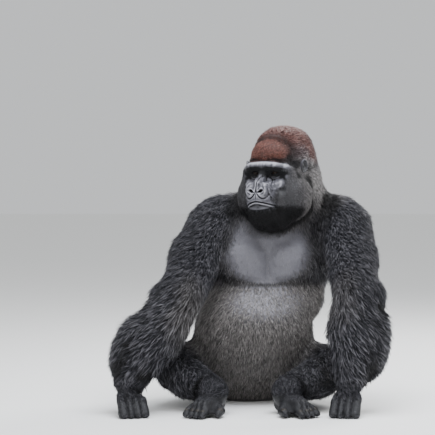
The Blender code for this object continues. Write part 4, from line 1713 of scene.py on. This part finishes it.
# %% [markdown]
# ## Growing the locks
#
# Each lock takes its length, depth, flow and curvature from the skin at its root,
# varied a little at random, and leans towards the middle of its clump. Long hair
# also droops under its own weight. On the floor the locks are pressed flat by a
# soft minimum of the height, so that no hair goes through it.

# %% Grow
FLOOR_REACH = 0.004
LENGTH_SPREAD, DEPTH_SPREAD = 0.18, 0.22
TURN_OF_LOCK, TURN_OF_CLUMP = 0.16, 0.22
TO_MIDDLE = 0.36
THIN_ON_BREAST = 0.45


def grown(found, weights, short, width):
    """The points of the locks with these roots, the clump of each, and the tallest."""
    number = len(found)
    root, size, deep, k = (at_roots(values, found, weights) for values in (skin_places, length, depth, curve))
    normal, way = (unit(at_roots(values, found, weights)) for values in (smooth_normals, flow))
    side = np.cross(normal, way)
    noise = rng.normal(size=(5, number))
    size = size * np.clip(1 + LENGTH_SPREAD * noise[0], 0.5, 1.4)
    height = deep * np.clip(0.80 + DEPTH_SPREAD * noise[1], 0.2, 1.2)
    height = np.clip(height, 0.10 * size, 0.75 * size)
    reach = np.sqrt(size**2 - height**2)
    clump = clump_numbers(root, CLUMP_SIZE * 0.6 if short else CLUMP_SIZE)
    clump_bend = rng.normal(size=(clump.max() + 1, 2))[clump]
    way = unit(way + side * (TURN_OF_LOCK * noise[2] + TURN_OF_CLUMP * clump_bend[:, 0])[:, None])
    tip = root + way * reach[:, None]
    to_middle = mean_in_clump(tip, clump)[clump] - tip
    to_middle -= normal * (to_middle * normal).sum(axis=1, keepdims=True)
    bend = TO_MIDDLE * to_middle + side * (0.06 * size * noise[3])[:, None]
    bend += normal * (height * 0.16 * clump_bend[:, 1])[:, None]
    hang = DOWN - np.minimum(normal @ DOWN, 0)[:, None] * normal
    droop = hang * (0.10 * size * step(0.02, 0.05, size))[:, None]
    wide = width * (0.75 + 0.25 * np.abs(noise[4])) * (0.55 + 0.45 * step(0.006, 0.030, size))
    wide *= 1 - THIN_ON_BREAST * at_roots(chest, found, weights)
    steps, widths = (SHORT_STEPS, SHORT_WIDTHS) if short else (LONG_STEPS, LONG_WIDTHS)
    sunk_root = root - normal * np.minimum(0.0015, 0.2 * size)[:, None]
    made = lock_points(sunk_root, normal, way, reach, height, wide, bend, droop, k, steps, widths)
    low = np.minimum(made[..., 2], FLOOR_REACH)
    made[..., 2] += FLOOR_REACH * np.exp((low - FLOOR_REACH) / FLOOR_REACH) - low
    return made, clump, height.max()


def triangle_mesh(name, points, triangles):
    """A smooth mesh from arrays of points and triangles."""
    mesh = bpy.data.meshes.new(name)
    mesh.vertices.add(len(points))
    mesh.vertices.foreach_set("co", points.ravel())
    mesh.loops.add(triangles.size)
    mesh.loops.foreach_set("vertex_index", triangles.ravel())
    mesh.polygons.add(len(triangles))
    mesh.polygons.foreach_set("loop_start", np.arange(len(triangles)) * 3)
    mesh.polygons.foreach_set("use_smooth", np.ones(len(triangles), bool))
    mesh.update(calc_edges=True)
    return mesh


# %% [markdown]
# ## One piece of the coat
#
# The coat is made piece by piece, so that each stays under 200,000 triangles. A
# piece carries the skin's markings at its roots, and four numbers of its own for
# each point: across the lock, along it, the lock's shade and its clump's shade.

# %% Plant one piece
BAKE_PATCH = 0.003


def coat_piece(name, chosen, number, short=False, width=0.0017):
    """Plants this number of locks on one part of the body and makes them a mesh."""
    found, weights = scatter(chosen, number)
    made, clump, tallest = grown(found, weights, short, width)
    steps = SHORT_STEPS if short else LONG_STEPS
    each = made.shape[1]
    first = each * np.arange(number)[:, None, None]
    triangles = (lock_faces(len(steps))[None] + first).reshape(-1, 3)
    mesh = triangle_mesh(name, made.reshape(-1, 3), triangles)
    corner = np.arange(each)
    along = np.append(np.repeat(steps, 3), (0.0, 1.0))
    across = np.where(corner >= each - 2, 0.5, (corner % 3) / 2)
    strand = np.empty((number, each, 4))
    strand[..., 0], strand[..., 1] = across, along
    strand[..., 2] = rng.random(number)[:, None]
    strand[..., 3] = rng.random(clump.max() + 1)[clump][:, None]
    set_values(mesh, "strand", strand.reshape(-1, 4))
    set_values(mesh, "markings", np.repeat(at_roots(markings, found, weights), each, axis=0))
    # Each lock carries the painted shade and highlight of the skin at its root
    set_values(mesh, "hollow", np.repeat(at_roots(hollow, found, weights), each))
    spot = np.einsum("nk,nkc->nc", weights, skin_map[triangle_loops[found]])
    patch = np.stack((across - 0.5, along - 0.5), axis=1)[None] * BAKE_PATCH + spot[:, None]
    patch = np.clip(patch, 0, 1).reshape(-1, 2)[triangles.ravel()]
    mesh.uv_layers.new(name=BAKE_MAP).data.foreach_set("uv", patch.ravel())
    print(name, "locks:", number, "triangles:", len(triangles), "tallest, mm:", round(float(tallest * 1000)))
    return new_object(name, mesh)


# %% [markdown]
# ## The whole coat
#
# Hair is finer on the face, hands and feet and coarser on the back and arms, so
# each piece has its own number of locks and its own width, in metres. The face
# gets the most locks for its size, because its hair is the shortest.

# %% Plant the coat
BACK_OF_FACE = 0.085

triangle_part = nearest[triangle_corners[:, 0]]
part_index = {name: index for index, name in enumerate(PARTS)}


def of_parts(*names):
    """True for the triangles that belong to one of the named parts."""
    return np.isin(triangle_part, [part_index[name] for name in names])


triangle_behind = smooth_normals[triangle_corners[:, 0], 1] > 0.0
on_front = face_y[triangle_corners[:, 0]] < BACK_OF_FACE
pieces = [
    coat_piece("coat_face", of_parts("head") & on_front, 32000, short=True, width=0.0010),
    coat_piece("coat_head", of_parts("head") & ~on_front, 27000, short=True, width=0.0013),
    coat_piece("coat_neck", of_parts("neck"), 13000, short=True, width=0.0014),
    coat_piece("coat_back", of_parts("trunk") & triangle_behind, 29000, short=True, width=0.0018),
    coat_piece("coat_front", of_parts("trunk") & ~triangle_behind, 30000, short=True, width=0.0013),
    coat_piece("coat_thighs", of_parts("thigh_right", "thigh_left"), 13000, short=True, width=0.0017),
    coat_piece("coat_shins", of_parts("shin_right", "shin_left"), 11000, short=True, width=0.0015),
]
for side, _ in SIDES:
    pieces += [
        coat_piece("coat_upper_arm_" + side, of_parts("upper_arm_" + side), 17000, short=True, width=0.0015),
        coat_piece("coat_forearm_" + side, of_parts("forearm_" + side), 9500, width=0.0018),
        coat_piece("coat_hand_" + side, of_parts("hand_" + side), 4600, short=True, width=0.0009),
        coat_piece("coat_foot_" + side, of_parts("foot_" + side), 5400, short=True, width=0.0009),
    ]
print("triangles in the coat:", sum(len(piece.data.polygons) for piece in pieces))

# %% [markdown]
# ## Finishes
#
# Each finish is a few nodes. Their patterns are sized in millimetres on object
# coordinates, and the masks on the points say where each colour goes. Colours
# are laid over each other like coats of glaze, each through its own mask.

# %% Masks and glazes
SPECKLED = {"Detail": 3.0, "Roughness": 0.6}


def masks_of(add, name):
    """The four masks of a point attribute: red, green and blue, and alpha."""
    values = add("Attribute", {"attribute_name": name})
    parts = add("SeparateColor", Color=values.outputs["Color"])
    return (*parts.outputs, values.outputs["Alpha"])


def glazed(add, base, *layers):
    """A colour under layers of (mask, colour): each covers what is below it by its mask."""
    for mask, colour in layers:
        base = add("Mix", {"data_type": "RGBA"}, _0=mask, _6=base, _7=colour).outputs[2]
    return base


def scale_for(millimetres):
    """The scale that gives a pattern features of this size on coordinates in metres."""
    return 1000 / millimetres


print("scale of a pattern of 1 mm:", scale_for(1))

# %% [markdown]
# ## Bare skin
#
# The skin of the face and breast is black and thick, with a fine net of creases
# like old glove leather, which breaks its shine into small patches. Ridges get a
# painted highlight, and folds a painted shade and a duller finish. The creases
# are the edges of cells 2.4 mm across with pores of 1.1 mm over them, a little
# coarser than the real ones, so that they show from where a visitor stands.

# %% Skin: black glove leather, creased, with a dull shine
skin_material, skin_shader, add = new_material("bare_black_gorilla_skin")
chestnut_at, silver_at, brown_at, bare_at = masks_of(add, "markings")
# fold reads the skin's number: painted shade above 0, painted highlight below 0
fold = add("Attribute", {"attribute_name": "hollow"}).outputs["Fac"]
place = add("TexCoord").outputs["Object"]
patches = add("TexNoise", Vector=place, Scale=scale_for(22), **SPECKLED).outputs["Fac"]
flecks = add("TexNoise", Vector=place, Scale=scale_for(2.5), **SPECKLED).outputs["Fac"]
flecked = add("MapRange", Value=flecks, From_Min=0.35, From_Max=0.7, To_Max=0.35).outputs[0]
painted_shade_and_dark_tone = add("MapRange", Value=fold, From_Min=0.0, From_Max=0.45, To_Max=0.93).outputs[0]
painted_highlight = add("MapRange", Value=fold, From_Min=-0.14, From_Max=-0.90, To_Max=0.62).outputs[0]
tone = glazed(
    add,
    linear("36353b"),
    (patches, linear("56555c")),
    (silver_at, linear("96959d")),
    (flecked, linear("3a393e")),
    # Painted shade in folds and sockets, with the darker chin, lips, cheeks and forearms
    (painted_shade_and_dark_tone, linear("060607")),
    # Painted highlight on ridges, the top of the brow, the cheekbones and the lower lip
    (painted_highlight, linear("c0bfc7")),
)
under_coat = glazed(
    add,
    linear("141417"),
    (chestnut_at, linear("3e241e")),
    (brown_at, linear("4a4644")),
    (silver_at, linear("5c5a5b")),
)
bare = add("MapRange", Value=bare_at, From_Min=0.05, From_Max=0.6).outputs[0]
finish_shader(skin_shader, Base_Color=glazed(add, under_coat, (bare, tone)), Specular_IOR_Level=0.35)
print("colour nodes of the skin:", len(skin_material.node_tree.nodes))

# %% [markdown]
# ## The skin's shine and creases
#
# Skin that is rubbed shines a little, and folds are dull. The creases and pores
# are two bumps, one over the other, a third of a millimetre deep, because depths
# that small would need millions of squares as real shapes.

# %% Its shine and its creases
rubs = add("TexNoise", Vector=place, Scale=scale_for(3.5), **SPECKLED).outputs["Fac"]
rubbed = add("MapRange", Value=rubs, From_Min=0.3, From_Max=0.7, To_Min=0.40, To_Max=0.62).outputs[0]
dull = add("MapRange", Value=fold, From_Min=0.1, From_Max=0.6).outputs[0]
rough = add("Math", {"operation": "MAXIMUM"}, _0=rubbed, _1=dull).outputs[0]
edge = {"feature": "DISTANCE_TO_EDGE"}
cells = add("TexVoronoi", edge, Vector=place, Scale=scale_for(2.4)).outputs["Distance"]
net = add("MapRange", Value=cells, From_Min=0.0, From_Max=0.22).outputs[0]
creased = add("Bump", Height=net, Distance=0.35e-3, Strength=0.7).outputs["Normal"]
pores = add("TexNoise", Vector=place, Scale=scale_for(1.1), Detail=4.0, Roughness=0.6).outputs["Fac"]
pored = add("Bump", Height=pores, Distance=0.30e-3, Strength=0.8, Normal=creased).outputs["Normal"]
finish_shader(skin_shader, Roughness=rough, Normal=pored)
skin_mesh.materials.append(skin_material)
print("nodes of the skin:", len(skin_material.node_tree.nodes))

# %% [markdown]
# ## Hair
#
# Gorilla hair is coarse and slightly glossy, black on the body, chestnut on the
# crown and silver on a male's back. Each lock has its own shade between a dark
# and a light one of its kind, some locks have pale tips, and all darken towards
# the root, where little light comes in. A middling roughness gives the soft
# sheen that lies along the coat.

# %% Coat: coarse hair with a soft sheen
coat_material, coat_shader, add = new_material("gorilla_hair")
chestnut_at, silver_at, brown_at, _ = masks_of(add, "markings")
_, along_at, shade_at, _ = masks_of(add, "strand")
# fold reads the skin's number at the root: painted shade above 0
fold = add("Attribute", {"attribute_name": "hollow"}).outputs["Fac"]
tips = add("Math", {"operation": "MULTIPLY"}, _0=along_at, _1=along_at).outputs[0]
some = add("MapRange", Value=shade_at, From_Min=0.55, From_Max=0.90).outputs[0]
many = add("MapRange", Value=shade_at, From_Min=0.45, From_Max=0.9).outputs[0]
some_tips = add("Math", {"operation": "MULTIPLY"}, _0=some, _1=tips).outputs[0]
many_tips = add("Math", {"operation": "MULTIPLY"}, _0=many, _1=tips).outputs[0]
# Painted shade on the hair in folds, sockets and the crease round the dome, with the darker chin, lips,
# cheeks and forearms
painted_shade_and_dark_tone = add("MapRange", Value=fold, From_Min=0.05, From_Max=0.7, To_Max=0.92).outputs[0]
at_root = add("MapRange", Value=along_at, From_Min=0.0, From_Max=0.45, To_Min=0.55, To_Max=0.0).outputs[0]
black = glazed(add, linear("131317"), (shade_at, linear("38383f")), (some_tips, linear("98969c")))
red = glazed(add, linear("3c1912"), (shade_at, linear("824738")), (many_tips, linear("ab887d")))
earth = glazed(add, linear("3b3836"), (shade_at, linear("98928d")))
grey = glazed(add, linear("5a5859"), (shade_at, linear("bdb8b6")))
hair = glazed(
    add,
    black,
    (chestnut_at, red),
    (brown_at, earth),
    (silver_at, grey),
    (painted_shade_and_dark_tone, linear("0c0b0c")),
    (at_root, linear("0a0a0c")),
)
finish_shader(coat_shader, Base_Color=hair, Roughness=0.52, Specular_IOR_Level=0.32)
for piece in pieces:
    piece.data.materials.append(coat_material)
print("nodes of the coat:", len(coat_material.node_tree.nodes))

# %% [markdown]
# ## Eye
#
# The eye is wet. Under a clear coat with a sharp highlight lie the dark iris, its
# darker rim and a brown-black white, which change with the angle from the line of
# sight, in degrees. The base itself hardly shines, or the eye would look glazed
# all over.

# %% Eyes: wet cornea over a dark iris
eye_material, eye_shader, add = new_material("wet_dark_eye")
degrees = add("Attribute", {"attribute_name": "ring"}).outputs["Fac"]
place = add("TexCoord").outputs["Object"]
fibres = add("TexNoise", Vector=place, Scale=scale_for(1.2), **SPECKLED).outputs["Fac"]
clouds = add("TexNoise", Vector=place, Scale=scale_for(3), **SPECKLED).outputs["Fac"]
iris = glazed(add, linear("16110d"), (fibres, linear("2b2019")))
white = glazed(add, linear("15100d"), (clouds, linear("2a1f19")))
past_iris = add("MapRange", Value=degrees, From_Min=30, From_Max=34).outputs[0]
past_rim = add("MapRange", Value=degrees, From_Min=35, From_Max=41).outputs[0]
in_pupil = add("MapRange", Value=degrees, From_Min=14, From_Max=11.5).outputs[0]
eye_colour = glazed(add, iris, (past_iris, linear("0c0604")), (past_rim, white), (in_pupil, linear("020202")))
finish_shader(eye_shader, Base_Color=eye_colour, Roughness=0.45, Specular_IOR_Level=0.1)
finish_shader(eye_shader, Coat_Weight=0.22, Coat_Roughness=0.03)
for side, _ in SIDES:
    eyeballs[side].data.materials.append(eye_material)
print("nodes of the eye:", len(eye_material.node_tree.nodes))

# %% [markdown]
# ## Ear
#
# The ear is the same bare skin as the face, with a painted highlight along the
# rolled rim, strongest at its rear, which the mesh's own number for each ring
# finds, and pores of 1.5 mm in a low bump.

# %% Ears: thin bare skin
ear_material, ear_shader, add = new_material("bare_ear_skin")
around = add("Attribute", {"attribute_name": "ring"}).outputs["Fac"]
place = add("TexCoord").outputs["Object"]
blotches = add("TexNoise", Vector=place, Scale=scale_for(6), **SPECKLED).outputs["Fac"]
pores = add("TexNoise", Vector=place, Scale=scale_for(1.5), **SPECKLED).outputs["Fac"]
# A painted highlight along the rolled rim
rim_highlight = add("MapRange", Value=around, From_Min=0.80, From_Max=0.93).outputs[0]
behind_rim = add("MapRange", Value=around, From_Min=1.02, From_Max=1.15).outputs[0]
ear_colour = glazed(
    add,
    linear("151417"),
    (blotches, linear("29282c")),
    (rim_highlight, linear("4b4a50")),
    (behind_rim, linear("1a191c")),
)
pored = add("Bump", Height=pores, Distance=0.25e-3, Strength=0.8).outputs["Normal"]
finish_shader(ear_shader, Base_Color=ear_colour, Roughness=0.45, Normal=pored)
for side, _ in SIDES:
    ears[side].data.materials.append(ear_material)
print("nodes of the ear:", len(ear_material.node_tree.nodes))

# %% [markdown]
# ## Nails
#
# A nail is horn: dark, smooth and a little streaky, with fine ridges under a tenth
# of a millimetre high that only soften its shine.

# %% Nails: black horn
nail_material, nail_shader, add = new_material("black_horn_nail")
place = add("TexCoord").outputs["Object"]
streaks = add("TexNoise", Vector=place, Scale=scale_for(4), **SPECKLED).outputs["Fac"]
ridges = add("TexNoise", Vector=place, Scale=scale_for(0.8), **SPECKLED).outputs["Fac"]
horn = glazed(add, linear("1a1816"), (streaks, linear("3b3733")))
ridged = add("Bump", Height=ridges, Distance=0.06e-3, Strength=0.6).outputs["Normal"]
finish_shader(nail_shader, Base_Color=horn, Roughness=0.50, Specular_IOR_Level=0.25, Normal=ridged)
for piece in nails:
    piece.data.materials.append(nail_material)
print("nodes of the nail:", len(nail_material.node_tree.nodes))

# %% [markdown]
# ## The finished pieces
#
# The scratch objects go, the parts that the new pieces replace are hidden, and
# each piece is hung from the model's root.

# %% Pieces hung from the model's root
for scratch in (flesh, head_form, tips_form):
    bpy.data.objects.remove(scratch)

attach(skin, "root")
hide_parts(*PARTS)
for side, _ in SIDES:
    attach(eyeballs[side], "root")
    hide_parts("eye_" + side)
    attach(ears[side], "root")
    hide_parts("ear_" + side)
for piece in nails:
    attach(piece, "root")
for piece in pieces:
    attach(piece, "root")

# %% [markdown]
# ## The size at the end
#
# The coat must not make the animal bigger than the imported model says. The coat
# is meant to end near the imported model's surface, so the box is measured again
# and how far it has grown past the first one is printed.

# %% Size
low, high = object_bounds()
grown = [round(float(x) * 1000, 1) for x in (*(cad_low - low), *(high - cad_high))]
print("grown past the model's box, mm, low then high:", grown)
